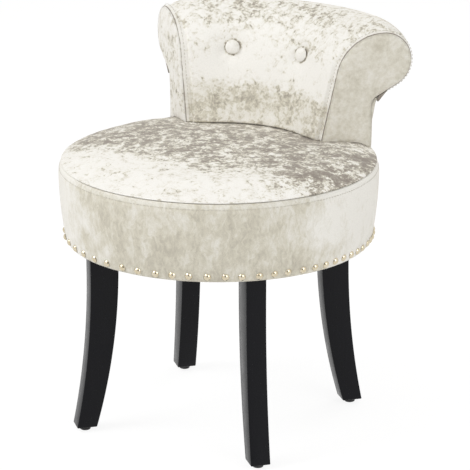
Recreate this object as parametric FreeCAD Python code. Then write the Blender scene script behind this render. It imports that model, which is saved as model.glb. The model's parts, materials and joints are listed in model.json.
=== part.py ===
import FreeCAD, Part
import math
import os

# Vanity stool: a round upholstered drum on four flared legs, with a low curved back that rolls over
# at its top. Millimetres. The seat's axis is the Z axis while the pieces are made; the floor is z = 0
# and the front is -Y. A section is drawn in the X-Z plane, where X is the distance from the seat's axis,
# and is then turned to its bearing, in degrees from the back (+Y) towards the right side (+X).

# Driving dimensions: seat drum
foot_r = 216.0              # side cover's radius at its bottom edge
foot_z = 275.0              # height of that edge above the floor
seam_z = 386.0              # seam between the side cover and the cushion's top
side_swell = 9.0            # how far the side bulges past its bottom edge
seam_tuck = 3.0             # how far the seam draws back in from the widest place
seam_above_widest = 14.0
crown_rise = 18.0           # crowned middle of the cushion above the seam
shoulder_drop = 6.0         # fall of the crown from its middle to the shoulder
shoulder_width = 30.0       # the rounded shoulder, from its start to the seam
return_width = 22.0         # velvet turned in below the base board
topstitch_drop = 7.5        # topstitching below the seam
thread_r = 0.5

# Driving dimensions: seat frame
frame_set_in = 8.0          # plywood frame, in from the velvet's bottom edge
hoop_wall = 9.0
base_thickness = 18.0
deck_thickness = 12.0
cushion_depth = 24.0        # deck below the seam
block_depth = 54.0          # corner blocks above the legs
block_width = 70.0
block_end_gap = 3.0

# Driving dimensions: legs
leg_bearing = 45.0
leg_set_in = 18.0           # leg's outer edge, in from the frame
leg_depth = 40.5
leg_thickness = 28.0
straight_outer = 46.5       # the leg's edges run straight this far below its top, and then flare out
straight_inner = 26.5
flare_outer = 23.3          # how far each edge has moved out at the foot
flare_inner = 34.9
leg_edge_chamfer = 1.0
glide_height = 6.5
glide_r = 7.8
glide_chamfer = 1.2
glide_pin_r = 1.5
glide_pin_length = 16.0
glide_pin_point = 3.0

# Driving dimensions: scrolled back
back_half_angle = 49.0      # bearing of each end of the back
back_thickness = 92.5       # at the seat, from the inside face to the outside face
back_height = 162.0         # top of the roll above the crown
roll_overhang = 16.0        # roll's centre outside the outside face
roll_r = 51.5
sweep_r = 81.0              # curve from the inside face up to the roll
roll_under_angle = 60.0     # where the roll's underside leaves it, below the horizontal
underside_slope = 30.0
neck_radius = 14.0
draw_angle = 18.0           # the padding draws in over this much of each end
foot_draw = 17.5            # how far it has drawn in at the end, at the seat
roll_draw = 11.0            # and round the roll
frame_lift = 3.0            # underside of the back's frame above the cushion's shoulder
back_rail_thickness = 18.0
rib_thickness = 15.0
mid_rib_bearing = 33.0
front_panel_thickness = 5.0
rear_panel_thickness = 4.0
roll_rail_depth = 24.0
roll_rail_height = 30.0
mount_rail_set_in = 18.0    # rail on the deck that carries the back, in from the outside face
mount_rail_width = 32.0
mount_rail_half_angle = 42.0

# Driving dimensions: upholstery of the back
velvet = 1.5
front_foam = 22.0
roll_foam = 16.0
end_foam = 4.0
button_r = 11.0
button_height = 6.5
button_edge = 2.0
button_sink = 4.0           # how deep a button pulls into the padding
button_above_seat = 105.0   # button's height above the crown
button_bearings = {"left": -22.5, "right": 16.4}
dimple_r = 34.0
dimple_rise = 6.0
twine_r = 1.0
twine_tail = 3.0
toggle_r = 11.0
toggle_thickness = 4.0

# Driving dimensions: fasteners and trim
nail_count = 56
nail_r = 5.0
nail_dome = 3.4
nail_rise = 8.0             # nails above the velvet's bottom edge
nail_shank_r = 0.9
nail_shank_length = 13.0
leg_bolt_r = 4.0
leg_bolt_in_leg = 35.0
leg_bolt_above = 5.0
leg_dowel_r = 4.0
leg_dowel_offset = 13.0     # from the leg's middle, outwards
leg_dowel_length = 30.0
back_bolt_r = 4.0
back_bolt_bearings = (-24.0, -10.0, 10.0, 24.0)
back_bolt_above = 4.0
bolt_head_r = 6.5
bolt_head_height = 5.0
washer_r = 11.0
washer_thickness = 1.6
access_hole_r = 14.0
tee_flange_r = 11.0
tee_flange = 1.5
tee_barrel_r = 5.6
tee_barrel = 10.0
screw_r = 2.0
screw_head_r = 4.0
screw_head = 2.4
screw_grip = 25.0           # how far a wood screw reaches into the second piece
screw_side_offset = 24.0
screw_spread = 9.5
dust_cover_set_in = 2.0
dust_cover_thickness = 0.8
staple_count = 16
staple_set_in = 8.0
staple_crown = 10.0
staple_wire = 0.8
staple_leg = 8.0

# Clearances
soft_gap = 0.3              # between soft faces
wood_gap = 0.2              # between curved wooden faces
hole_gap = 0.15             # round a bolt, pin or shank, on the radius
hole_depth_gap = 1.0        # past the end of a bolt, pin or shank
staple_gap = 0.1
leg_opening_gap = 1.5       # round each leg in the cloth below the seat
button_gap = 1.0            # round a button in its dimple
head_room = 0.5             # above a fastener's head

# Heights, radii and insets that follow
widest_r = foot_r + side_swell
widest_z = seam_z - seam_above_widest
seam_r = widest_r - seam_tuck
crown_z = seam_z + crown_rise
shoulder_z = crown_z - shoulder_drop
shoulder_r = seam_r - shoulder_width
frame_r = foot_r - frame_set_in
hoop_r = frame_r - hoop_wall
board_bottom = foot_z + velvet
board_top = board_bottom + base_thickness
deck_top = seam_z - cushion_depth
deck_bottom = deck_top - deck_thickness
block_outer_r = hoop_r - block_end_gap
leg_top = board_bottom
leg_outer_r = frame_r - leg_set_in
leg_inner_r = leg_outer_r - leg_depth
leg_middle_r = (leg_inner_r + leg_outer_r) / 2
glide_centre_r = leg_middle_r + (flare_inner + flare_outer) / 2
back_wall_r = seam_r
back_foot_r = back_wall_r - back_thickness
roll_top = crown_z + back_height
roll_centre_r = back_wall_r + roll_overhang
roll_centre_z = roll_top - roll_r
sweep_centre_z = roll_top - sweep_r
back_frame_z = shoulder_z + frame_lift
rail_top = back_frame_z + back_rail_thickness
mount_rail_outer_r = back_wall_r - mount_rail_set_in
mount_rail_inner_r = mount_rail_outer_r - mount_rail_width
mount_rail_middle_r = (mount_rail_inner_r + mount_rail_outer_r) / 2
lining_inset = velvet + soft_gap
front_panel_inset = lining_inset + front_foam + soft_gap
core_front_inset = front_panel_inset + front_panel_thickness + wood_gap
core_roll_inset = lining_inset + roll_foam + soft_gap
core_rear_inset = lining_inset + rear_panel_thickness + wood_gap
end_pad_back = lining_inset + end_foam
frame_end_inset = end_pad_back + soft_gap
axis_y = -(roll_centre_r + roll_r - widest_r) / 2     # puts the origin below the whole stool's middle

LEGS = {"back_right": leg_bearing, "front_right": 180 - leg_bearing,
        "front_left": 180 + leg_bearing, "back_left": -leg_bearing}
MID_RIBS = {"left": -mid_rib_bearing, "centre": 0.0, "right": mid_rib_bearing}
UP = FreeCAD.Vector(0, 0, 1)
ORIGIN = FreeCAD.Vector(0, 0, 0)


# Drawing and turning
def at(r, z):
    return FreeCAD.Vector(r, 0, z)


def turned(shape, bearing):
    """The shape, turned from the X-Z plane to its bearing."""
    copy = shape.copy()
    copy.rotate(ORIGIN, UP, 90.0 - bearing)
    return copy


def outline(start, *runs):
    """A closed wire; each run is an end point, or a middle and an end point for an arc."""
    edges, here = [], start
    for run in runs:
        if len(run) == 1:
            edges.append(Part.makeLine(at(*here), at(*run[0])))
        else:
            edges.append(Part.Arc(at(*here), at(*run[0]), at(*run[1])).toShape())
        here = run[-1]
    edges.append(Part.makeLine(at(*here), at(*start)))
    return Part.Wire(edges)


def spun(wire, angle=360.0):
    """The outline turned about the seat's axis, with its middle at the back."""
    return turned(Part.Face(wire), angle / 2).revolve(ORIGIN, UP, angle)


def turned_on_z(wire):
    """A turned piece about its own upright axis, such as a button or a screw."""
    return Part.Face(wire).revolve(ORIGIN, UP, 360)


def lines(*points):
    return [(point,) for point in points]


def reversed_runs(start, runs):
    """The same runs from their last point back to the start."""
    ends = [start] + [run[-1] for run in runs[:-1]]
    return [run[:-1] + (end,) for run, end in zip(reversed(runs), reversed(ends))]


def arc_between(start, centre, end):
    """Middle and end of the shorter arc about the centre."""
    way = ((start[0] + end[0]) / 2 - centre[0], (start[1] + end[1]) / 2 - centre[1])
    reach = math.dist(start, centre) / math.hypot(*way)
    return (centre[0] + way[0] * reach, centre[1] + way[1] * reach), end


def tangent_centre(start, direction, end):
    """Centre of the circle that leaves start along the direction and passes through end."""
    normal = (-direction[1], direction[0])
    chord = (end[0] - start[0], end[1] - start[1])
    swing = (chord[0] ** 2 + chord[1] ** 2) / (2 * (chord[0] * normal[0] + chord[1] * normal[1]))
    return start[0] + normal[0] * swing, start[1] + normal[1] * swing


def tangent_arc(start, direction, end):
    """Middle and end of the arc that leaves start along the direction and reaches end."""
    return arc_between(start, tangent_centre(start, direction, end), end)


def post(r, bottom, top, at_r, bearing, offset=0.0):
    """An upright cylinder at a radius and bearing, offset sideways."""
    return turned(Part.makeCylinder(r, top - bottom, FreeCAD.Vector(at_r, offset, bottom)), bearing)


def disc(r, bottom, top):
    return Part.makeCylinder(r, top - bottom, at(0, bottom))


def bar(length, width, height, middle_r, bottom, bearing):
    """An upright block that points along its bearing."""
    corner = FreeCAD.Vector(middle_r - length / 2, -width / 2, bottom)
    return turned(Part.makeBox(length, width, height, corner), bearing)


# Surfaces of the seat
dome_r = (shoulder_r ** 2 + shoulder_drop ** 2) / (2 * shoulder_drop)
shoulder_lean = math.asin(shoulder_r / dome_r)
shoulder_centre = tangent_centre((shoulder_r, shoulder_z),
                                 (math.cos(shoulder_lean), -math.sin(shoulder_lean)), (seam_r, seam_z))
side_centre_r = tangent_centre((widest_r, widest_z), (0, -1), (foot_r, foot_z))[0]


def crown_height(r):
    """Height of the cushion's top at a radius."""
    if r <= shoulder_r:
        return crown_z - dome_r + math.sqrt(dome_r ** 2 - r ** 2)
    reach = math.dist(shoulder_centre, (seam_r, seam_z))
    return shoulder_centre[1] + math.sqrt(reach ** 2 - (r - shoulder_centre[0]) ** 2)


def crown_runs(end_r, drop):
    """Runs from the crown's middle out to a radius, lowered by drop."""
    shoulder = (shoulder_r, shoulder_z - drop)
    centre = (shoulder_centre[0], shoulder_centre[1] - drop)
    half_way = shoulder_r / 2
    return [((half_way, crown_height(half_way) - drop), shoulder),
            arc_between(shoulder, centre, (end_r, crown_height(end_r) - drop))]


def side_runs(inset):
    """Runs from the seam down the drum's side to its foot, drawn in by inset."""
    seam = (seam_r - inset, seam_z)
    widest = (widest_r - inset, widest_z)
    return [(tangent_arc(widest, (0, 1), seam)[0], widest),
            tangent_arc(widest, (0, -1), (foot_r - inset, foot_z))]


def side_radius(z):
    """Radius of the drum's side at a height, and how far it faces downwards in degrees."""
    if z > widest_z:
        centre_r = tangent_centre((widest_r, widest_z), (0, 1), (seam_r, seam_z))[0]
    else:
        centre_r = side_centre_r
    reach = widest_r - centre_r
    facing = math.degrees(math.asin((widest_z - z) / reach))
    return centre_r + math.sqrt(reach ** 2 - (z - widest_z) ** 2), facing


# Fasteners, and the holes that they need
def nails():
    """Domed nails round the drum."""
    top, rim = (0, nail_dome), (nail_r, 0)
    dome = tangent_arc(top, (1, 0), rim)[0]
    shank = lines((nail_shank_r, -nail_shank_length), (nail_shank_r, 0), rim)
    return around_drum(turned_on_z(outline((0, -nail_shank_length), *shank, (dome, top))))


def nail_holes():
    length = nail_shank_length + hole_depth_gap
    return around_drum(Part.makeCylinder(nail_shank_r + hole_gap, length + nail_dome, at(0, -length)))


def around_drum(shape):
    """Copies of a shape made about Z, square to the drum's side at each nail."""
    r, tilt = side_radius(foot_z + nail_rise)
    one = shape.copy()
    one.rotate(ORIGIN, FreeCAD.Vector(0, 1, 0), 90 + tilt)
    one.translate(at(r + hole_gap, foot_z + nail_rise))
    return [turned(one, 360.0 / nail_count * (i + 0.5)) for i in range(nail_count)]


def staples():
    bottom = foot_z - dust_cover_thickness - staple_wire
    middle_r = frame_r - staple_set_in
    made = []
    for i in range(staple_count):
        bearing = 360.0 / staple_count * i
        crown = bar(staple_wire, staple_crown, staple_wire, middle_r, bottom, bearing)
        made.append(crown.fuse(staple_legs(bearing, 0.0)).removeSplitter())
    return made


def staple_legs(bearing, gap):
    bottom = foot_z - dust_cover_thickness
    middle_r = frame_r - staple_set_in
    offset = (staple_crown - staple_wire) / 2
    wire = staple_wire + 2 * gap
    corners = [FreeCAD.Vector(middle_r - wire / 2, side * offset - wire / 2, bottom) for side in (-1, 1)]
    return [turned(Part.makeBox(wire, wire, staple_leg + gap, corner), bearing) for corner in corners]


def staple_holes():
    return [hole for i in range(staple_count) for hole in staple_legs(360.0 / staple_count * i, staple_gap)]


def leg_posts(r, bottom, top, offset=0.0):
    """One upright cylinder at each leg."""
    return [post(r, bottom, top, leg_middle_r + offset, bearing) for bearing in LEGS.values()]


def back_posts(r, bottom, top):
    """One upright cylinder at each bolt of the back."""
    return [post(r, bottom, top, mount_rail_middle_r, bearing) for bearing in back_bolt_bearings]


def tee_nuts(centre_r, bearings, face_z, bolt_r):
    """Flanged nuts let into a board's top face."""
    made = []
    for bearing in bearings:
        flange = post(tee_flange_r, face_z, face_z + tee_flange, centre_r, bearing)
        barrel = post(tee_barrel_r, face_z - tee_barrel, face_z, centre_r, bearing)
        bore = post(bolt_r + hole_gap, face_z - tee_barrel, face_z + tee_flange, centre_r, bearing)
        made.append(flange.fuse(barrel).removeSplitter().cut(bore))
    return Part.makeCompound(made)


def wood_screw(grip):
    """A countersunk screw with its head at z = 0 and its point down."""
    length = grip + screw_grip
    return turned_on_z(outline((0, 0), *lines((screw_head_r, 0), (screw_r, -screw_head),
                                              (screw_r, 2 * screw_r - length), (0, -length))))


def screw_hole(grip):
    length = grip + screw_grip + hole_depth_gap
    sink_r = screw_head_r + hole_gap
    hole_r = screw_r + hole_gap
    sink = lines((sink_r, head_room), (sink_r, 0), (hole_r, -screw_head))
    return turned_on_z(outline((0, head_room), *sink, *lines((hole_r, -length), (0, -length))))


def screwed(shape, places, head_z, upwards):
    """Copies of a screw or its hole at (radius, bearing, sideways offset), pointing down or upwards."""
    made = []
    for r, bearing, offset in places:
        one = shape.copy()
        if upwards:
            one.rotate(ORIGIN, FreeCAD.Vector(1, 0, 0), 180)
        one.translate(FreeCAD.Vector(r, offset, head_z))
        made.append(turned(one, bearing))
    return made


def block_places(at_r):
    return [(at_r, bearing, side * screw_side_offset) for bearing in LEGS.values() for side in (-1, 1)]


def deck_screws(shape):
    return screwed(shape, block_places(leg_middle_r - screw_spread), deck_top, False)


def base_screws(shape):
    return screwed(shape, block_places(leg_middle_r + screw_spread), board_bottom, True)


def rib_screws(shape):
    """One screw up through the back's bottom rail into each rib."""
    end_offset = frame_end_inset + rib_thickness / 2
    places = [(mount_rail_middle_r, bearing, 0.0) for bearing in MID_RIBS.values()]
    places += [(mount_rail_middle_r, side * back_half_angle, side * end_offset) for side in (-1, 1)]
    return screwed(shape, places, back_frame_z, True)


# Seat frame
def seat_base_board():
    cuts = leg_posts(leg_bolt_r + hole_gap, board_bottom, board_top)
    cuts += leg_posts(tee_barrel_r + hole_gap, board_top - tee_barrel - hole_depth_gap, board_top)
    dowel_top = board_bottom + leg_dowel_length / 2 + hole_depth_gap
    cuts += leg_posts(leg_dowel_r + hole_gap, board_bottom, dowel_top, leg_dowel_offset)
    cuts += back_posts(access_hole_r, board_bottom, board_top)
    cuts += base_screws(screw_hole(base_thickness))
    return disc(frame_r, board_bottom, board_top).cut(cuts + nail_holes() + staple_holes())


def seat_hoop():
    return disc(frame_r, board_top, deck_bottom).cut(disc(hoop_r, board_top, deck_bottom))


def seat_deck():
    cuts = back_posts(back_bolt_r + hole_gap, deck_bottom, deck_top)
    return disc(frame_r, deck_bottom, deck_top).cut(cuts + deck_screws(screw_hole(deck_thickness)))


def corner_block(bearing):
    """A block between base board and deck above a leg, rounded to lie inside the hoop."""
    middle_r = block_outer_r - block_depth / 2
    block = bar(block_depth, block_width, deck_bottom - board_top, middle_r, board_top, bearing)
    bolt_room = leg_bolt_above + hole_depth_gap + head_room
    cuts = leg_posts(tee_flange_r + head_room, board_top, board_top + bolt_room)
    cuts += base_screws(screw_hole(base_thickness)) + deck_screws(screw_hole(deck_thickness))
    return block.common(disc(hoop_r - wood_gap, board_top, deck_bottom)).cut(cuts)


def mount_rail(gap):
    """The curved rail on the deck that carries the back, or the slot round it when a gap is given."""
    inner, outer = mount_rail_inner_r - gap, mount_rail_outer_r + gap
    corners = lines((outer, deck_top), (outer, back_frame_z), (inner, back_frame_z))
    angle = 2 * (mount_rail_half_angle + math.degrees(gap / mount_rail_inner_r))
    return spun(outline((inner, deck_top), *corners), angle)


def back_mount_rail():
    return mount_rail(0.0).cut(back_posts(back_bolt_r + hole_gap, deck_top, back_frame_z))


# Seat upholstery
def seat_foam():
    edge = frame_r - soft_gap
    drop = lining_inset
    wire = outline((0, deck_top), ((0, crown_z - drop),), *crown_runs(edge, drop), ((edge, deck_top),))
    return spun(wire).cut(mount_rail(soft_gap))


def seat_side_padding():
    """Padding round the frame, filled out to the seam above the deck."""
    inner = frame_r + soft_gap
    edge = seam_r - lining_inset
    runs = side_runs(lining_inset)
    bottom = (side_radius(board_bottom)[0] - lining_inset, board_bottom)
    runs[-1] = arc_between(runs[0][-1], (side_centre_r - lining_inset, widest_z), bottom)
    top_inner, top_outer = [(r, crown_height(r) - lining_inset) for r in (inner, edge)]
    top_centre = (shoulder_centre[0], shoulder_centre[1] - lining_inset)
    top = arc_between(top_inner, top_centre, top_outer)
    return spun(outline((inner, board_bottom), (top_inner,), top, *runs)).cut(nail_holes())


def seat_top_cover():
    edge = seam_r - velvet - soft_gap
    below = (0, crown_z - velvet)
    under = crown_runs(edge, velvet)
    wire = outline((0, crown_z), *crown_runs(edge, 0.0), (under[-1][-1],), *reversed_runs(below, under))
    return spun(wire).cut(mount_rail(soft_gap))


def seat_side_cover():
    """Velvet band from the seam down the side, turned in below the base board."""
    inner_foot = foot_r - return_width
    inner = side_runs(velvet)
    inner[-1] = arc_between((widest_r - velvet, widest_z), (side_centre_r - velvet, widest_z),
                            (side_radius(board_bottom)[0] - velvet, board_bottom))
    turned_in = lines((inner_foot, foot_z), (inner_foot, board_bottom), inner[-1][-1])
    wire = outline((seam_r, seam_z), *side_runs(0.0), *turned_in,
                   *reversed_runs((seam_r - velvet, seam_z), inner))
    cuts = nail_holes() + staple_holes() + leg_openings(foot_z, board_bottom)
    return spun(wire).cut(cuts + [topstitch(hole_gap)])


def topstitch(gap):
    """Thread sunk into the side cover, or its groove when a gap is given."""
    z = seam_z - topstitch_drop
    return Part.makeTorus(side_radius(z)[0], thread_r + gap, at(0, z))


def leg_openings(bottom, top):
    length, width = leg_depth + 2 * leg_opening_gap, leg_thickness + 2 * leg_opening_gap
    return [bar(length, width, top - bottom, leg_middle_r, bottom, bearing) for bearing in LEGS.values()]


def dust_cover():
    bottom = foot_z - dust_cover_thickness
    cuts = leg_openings(bottom, foot_z) + staple_holes()
    return disc(frame_r - dust_cover_set_in, bottom, foot_z).cut(cuts)


# Legs
def leg(bearing):
    top_outer, bend_outer = (leg_outer_r, leg_top), (leg_outer_r, leg_top - straight_outer)
    top_inner, bend_inner = (leg_inner_r, leg_top), (leg_inner_r, leg_top - straight_inner)
    foot_outer = (leg_outer_r + flare_outer, glide_height)
    foot_inner = (leg_inner_r + flare_inner, glide_height)
    inner = tangent_arc(bend_inner, (0, -1), foot_inner)
    wire = outline(top_inner, *lines(top_outer, bend_outer), tangent_arc(bend_outer, (0, -1), foot_outer),
                   (foot_inner,), (inner[0], bend_inner))
    blank = Part.Face(wire).extrude(FreeCAD.Vector(0, leg_thickness, 0))
    blank.translate(FreeCAD.Vector(0, -leg_thickness / 2, 0))
    long_edges = [edge for edge in blank.Edges
                  if edge.BoundBox.YLength < wood_gap and edge.BoundBox.ZLength > leg_edge_chamfer]
    body = turned(blank.makeChamfer(leg_edge_chamfer, long_edges), bearing)
    bolt_end = leg_top - leg_bolt_in_leg - hole_depth_gap
    dowel_end = leg_top - leg_dowel_length / 2 - hole_depth_gap
    dowel_at_r = leg_middle_r + leg_dowel_offset
    pin_end = glide_height + glide_pin_length + hole_depth_gap
    return body.cut([post(leg_bolt_r + hole_gap, bolt_end, leg_top, leg_middle_r, bearing),
                     post(leg_dowel_r + hole_gap, dowel_end, leg_top, dowel_at_r, bearing),
                     post(glide_pin_r + hole_gap, glide_height, pin_end, glide_centre_r, bearing)])


def glide(bearing):
    """A round glide with its pin, below a leg's foot."""
    pin_top = glide_height + glide_pin_length
    foot = lines((glide_r - glide_chamfer, 0), (glide_r, glide_chamfer), (glide_r, glide_height))
    pin = lines((glide_pin_r, glide_height), (glide_pin_r, pin_top - glide_pin_point), (0, pin_top))
    one = turned_on_z(outline((0, 0), *foot, *pin))
    one.translate(at(glide_centre_r, 0))
    return turned(one, bearing)


def leg_hanger_bolts():
    return Part.makeCompound(leg_posts(leg_bolt_r, leg_top - leg_bolt_in_leg, board_top + leg_bolt_above))


def leg_dowels():
    half = leg_dowel_length / 2
    return Part.makeCompound(leg_posts(leg_dowel_r, leg_top - half, leg_top + half, leg_dowel_offset))


# Surfaces of the back. A draw of 0 is the full section, and of 1 the drawn-in section at the back's ends.
def draw_at(bearing):
    start = back_half_angle - draw_angle
    return max(0.0, (abs(bearing) - start) / draw_angle) ** 2


def sweep_radius(draw, inset):
    return sweep_r - roll_draw * draw - inset


def front_line(draw, inset):
    """Top of the straight inside face and its direction, drawn in by inset."""
    foot = (back_foot_r + foot_draw * draw, shoulder_z)
    across, rise = roll_centre_r - foot[0], sweep_centre_z - foot[1]
    lean = math.atan2(rise, across) + math.asin(sweep_radius(draw, 0.0) / math.hypot(across, rise))
    direction = (math.cos(lean), math.sin(lean))
    radius = sweep_radius(draw, inset)
    return (roll_centre_r - direction[1] * radius, sweep_centre_z + direction[0] * radius), direction


def front_point(draw, inset, z):
    """Point of the inside face's straight part at a height."""
    top, direction = front_line(draw, inset)
    return top[0] - (top[1] - z) * direction[0] / direction[1], z


def seated_point(draw, inset):
    """Point of the inside face just above the cushion."""
    r = front_point(draw, inset, shoulder_z)[0]
    return front_point(draw, inset, crown_height(r) + soft_gap)


def on_roll(angle, draw, inset):
    """Point of the roll at an angle above the horizontal."""
    turn = math.radians(angle)
    radius = roll_r - roll_draw * draw - inset
    return roll_centre_r + radius * math.cos(turn), roll_top - roll_r + radius * math.sin(turn)


def roll_summit(draw, inset):
    return roll_centre_r, roll_centre_z + roll_r - roll_draw * draw - inset


def front_runs(draw, inset):
    """Runs up the inside face and over the sweep to the roll's summit."""
    top = front_line(draw, inset)[0]
    summit = roll_summit(draw, inset)
    return [(top,), arc_between(top, (roll_centre_r, sweep_centre_z), summit)]


def roll_runs(draw, inset):
    """Runs from the roll's summit round its back to where its underside leaves it."""
    return [(on_roll(45, draw, inset), on_roll(0, draw, inset)),
            (on_roll(-roll_under_angle / 2, draw, inset), on_roll(-roll_under_angle, draw, inset))]


def neck(draw, inset, wall_inset):
    """Upper end, middle and lower end of the curve between the roll's underside and the outside face."""
    wall = back_wall_r - wall_inset
    slope = math.radians(underside_slope)
    leave = on_roll(-roll_under_angle, draw, inset)
    corner_z = leave[1] - (leave[0] - wall) * math.tan(slope)
    reach = (neck_radius + wall_inset) * math.tan((math.pi / 2 - slope) / 2)
    upper = (wall + reach * math.cos(slope), corner_z + reach * math.sin(slope))
    lower = (wall, corner_z - reach)
    centre = (wall + neck_radius + wall_inset, lower[1])
    return upper, arc_between(upper, centre, lower)[0], lower


def lofted(make_wire):
    """A solid through the wire that make_wire gives for the draw at each bearing of the back."""
    start = back_half_angle - draw_angle
    side = [back_half_angle - draw_angle * share for share in (0.0, 0.2, 0.45, 0.75, 1.0)]
    side += [start * share for share in (0.7, 0.35)]
    bearings = sorted([-bearing for bearing in side] + [0.0] + side)
    return Part.makeLoft([turned(make_wire(draw_at(bearing)), bearing) for bearing in bearings], True)


def wedge(inset):
    """The room between the two end planes of the back, each moved in by inset."""
    angle = math.radians(back_half_angle)
    far = 4 * seam_r
    apex = FreeCAD.Vector(0, inset / math.sin(angle), 0)
    right = apex + FreeCAD.Vector(math.sin(angle), math.cos(angle), 0) * far
    left = FreeCAD.Vector(-right.x, right.y, 0)
    corners = [apex, right, FreeCAD.Vector(0, 2 * far, 0), left, apex]
    return Part.Face(Part.makePolygon(corners)).extrude(UP * far)


def at_end(shape, side, near, far):
    """The slice of a shape between two insets from one end plane of the back."""
    middle = wedge(far)
    half = Part.makeBox(4 * seam_r, 8 * seam_r, 4 * seam_r, FreeCAD.Vector(0, -4 * seam_r, 0))
    if side < 0:
        half.translate(FreeCAD.Vector(-4 * seam_r, 0, 0))
    return shape.common(wedge(near)).common(half).cut(middle)


def back_form(inset):
    """The back's whole padded form drawn in by inset, standing on the cushion."""
    edge = min(back_wall_r - inset, seam_r)
    shoulder = (shoulder_r, shoulder_z + soft_gap)
    heel = (edge, crown_height(edge) + soft_gap)
    centre = (shoulder_centre[0], shoulder_centre[1] + soft_gap)

    def make(draw):
        upper, middle, lower = neck(draw, inset, inset)
        return outline(seated_point(draw, inset), *front_runs(draw, inset), *roll_runs(draw, inset),
                       (upper,), (middle, lower), (heel,), arc_between(heel, centre, shoulder))
    return lofted(make)


def back_core():
    """The room inside the back's padding and panels that its wooden frame takes up."""
    summit = roll_summit(0.0, core_roll_inset)
    upper, middle, lower = neck(0.0, core_roll_inset, core_rear_inset)
    wire = outline(front_point(0.0, core_front_inset, back_frame_z), *front_runs(0.0, core_front_inset),
                   (summit,), *roll_runs(0.0, core_roll_inset), (upper,), (middle, lower),
                   ((back_wall_r - core_rear_inset, back_frame_z),))
    return spun(wire, 2 * back_half_angle).common(wedge(frame_end_inset))


# Frame of the back
def slab(bottom, top):
    return disc(4 * seam_r, bottom, top)


def roll_rail_room():
    inner, outer = roll_centre_r - roll_rail_depth / 2, roll_centre_r + roll_rail_depth / 2
    bottom, top = roll_centre_z - roll_rail_height / 2, roll_centre_z + roll_rail_height / 2
    wire = outline((inner, bottom), *lines((outer, bottom), (outer, top), (inner, top)))
    return spun(wire, 2 * back_half_angle).common(wedge(frame_end_inset))


def back_bottom_rail(core):
    cuts = back_posts(back_bolt_r + hole_gap, back_frame_z, rail_top)
    cuts += back_posts(tee_barrel_r + hole_gap, rail_top - tee_barrel - hole_depth_gap, rail_top)
    cuts += rib_screws(screw_hole(back_rail_thickness))
    return core.common(slab(back_frame_z, rail_top)).cut(cuts)


def rib(core, room):
    """The core's section inside a slice, notched for the roll rail and standing on the bottom rail."""
    above = core.common(room).common(slab(rail_top, roll_top))
    return above.cut([roll_rail_room()] + rib_screws(screw_hole(back_rail_thickness)))


def mid_rib(core, bearing):
    return rib(core, bar(2 * seam_r, rib_thickness, 4 * seam_r, 1.5 * seam_r, 0, bearing))


def end_rib(core, side):
    far = frame_end_inset + rib_thickness
    return rib(core, at_end(slab(rail_top, roll_top), side, frame_end_inset, far))


def back_front_panel():
    """Bent panel behind the inside padding, holed for the buttons' twine."""
    near, far = front_panel_inset, front_panel_inset + front_panel_thickness
    start, back_start = front_point(0.0, near, back_frame_z), front_point(0.0, far, back_frame_z)
    inward = front_runs(0.0, far)
    wire = outline(start, *front_runs(0.0, near), (inward[-1][-1],), *reversed_runs(back_start, inward))
    return spun(wire, 2 * back_half_angle).common(wedge(frame_end_inset)).cut(twine_holes())


def back_rear_panel():
    near, far = back_wall_r - lining_inset, back_wall_r - lining_inset - rear_panel_thickness
    bottom = crown_height(far) + soft_gap
    top = neck(0.0, 0.0, 0.0)[2][1]
    wire = outline((near, bottom), *lines((near, top), (far, top), (far, bottom)))
    return spun(wire, 2 * back_half_angle).common(wedge(frame_end_inset))


def back_mount_bolts():
    head = deck_bottom - washer_thickness
    shanks = back_posts(back_bolt_r, head, rail_top + tee_flange + back_bolt_above)
    heads = back_posts(bolt_head_r, head - bolt_head_height, head)
    return Part.makeCompound([a.fuse(b).removeSplitter() for a, b in zip(shanks, heads)])


def back_mount_washers():
    outer = back_posts(washer_r, deck_bottom - washer_thickness, deck_bottom)
    inner = back_posts(back_bolt_r + hole_gap, deck_bottom - washer_thickness, deck_bottom)
    return Part.makeCompound([a.cut(b) for a, b in zip(outer, inner)])


# Upholstery of the back
def band(near, far, far_draws=True):
    """A layer of the inside face and sweep between two insets, standing on the cushion."""
    def make(draw):
        far_draw = draw if far_draws else 0.0
        outward, inward = front_runs(draw, near), front_runs(far_draw, far)
        return outline(seated_point(draw, near), *outward, (inward[-1][-1],),
                       *reversed_runs(seated_point(far_draw, far), inward))
    return lofted(make)


def cover_runs(draw, inset):
    """Runs up the inside face, over the roll and along its underside to the seam above the neck."""
    slope = math.radians(underside_slope)
    r, z = neck(draw, inset, inset)[0]
    end = (r + soft_gap * math.cos(slope), z + soft_gap * math.sin(slope))
    return front_runs(draw, inset) + roll_runs(draw, inset) + [(end,)]


def button_line():
    """Point of the inside face where a button sits, and the direction that it faces."""
    z = crown_z + button_above_seat
    top, direction = front_line(0.0, 0.0)
    if z < top[1]:
        return at(*front_point(0.0, 0.0, z)), at(-direction[1], direction[0])
    rise = z - sweep_centre_z
    run = math.sqrt(sweep_r ** 2 - rise ** 2)
    return at(roll_centre_r - run, z), at(-run / sweep_r, rise / sweep_r)


def on_button(shape, bearing):
    """A shape made about Z, set on a button's line with its origin on the velvet."""
    point, facing = button_line()
    one = shape.copy()
    one.rotate(ORIGIN, FreeCAD.Vector(0, 1, 0), math.degrees(math.atan2(facing.x, facing.z)))
    one.translate(point)
    return turned(one, bearing)


def on_buttons(shape):
    return [on_button(shape, bearing) for bearing in button_bearings.values()]


def dimples(inset):
    """The tufts' hollows, moved into the padding by inset."""
    floor_r, floor_z, mouth_z = button_r + button_gap, -button_sink - inset, dimple_rise - inset
    wall = tangent_arc((floor_r, floor_z), (1, 0), (dimple_r, mouth_z))
    over = 2 * dimple_rise
    return on_buttons(turned_on_z(outline((0, floor_z), ((floor_r, floor_z),), wall,
                                          *lines((dimple_r, over), (0, over)))))


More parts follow.
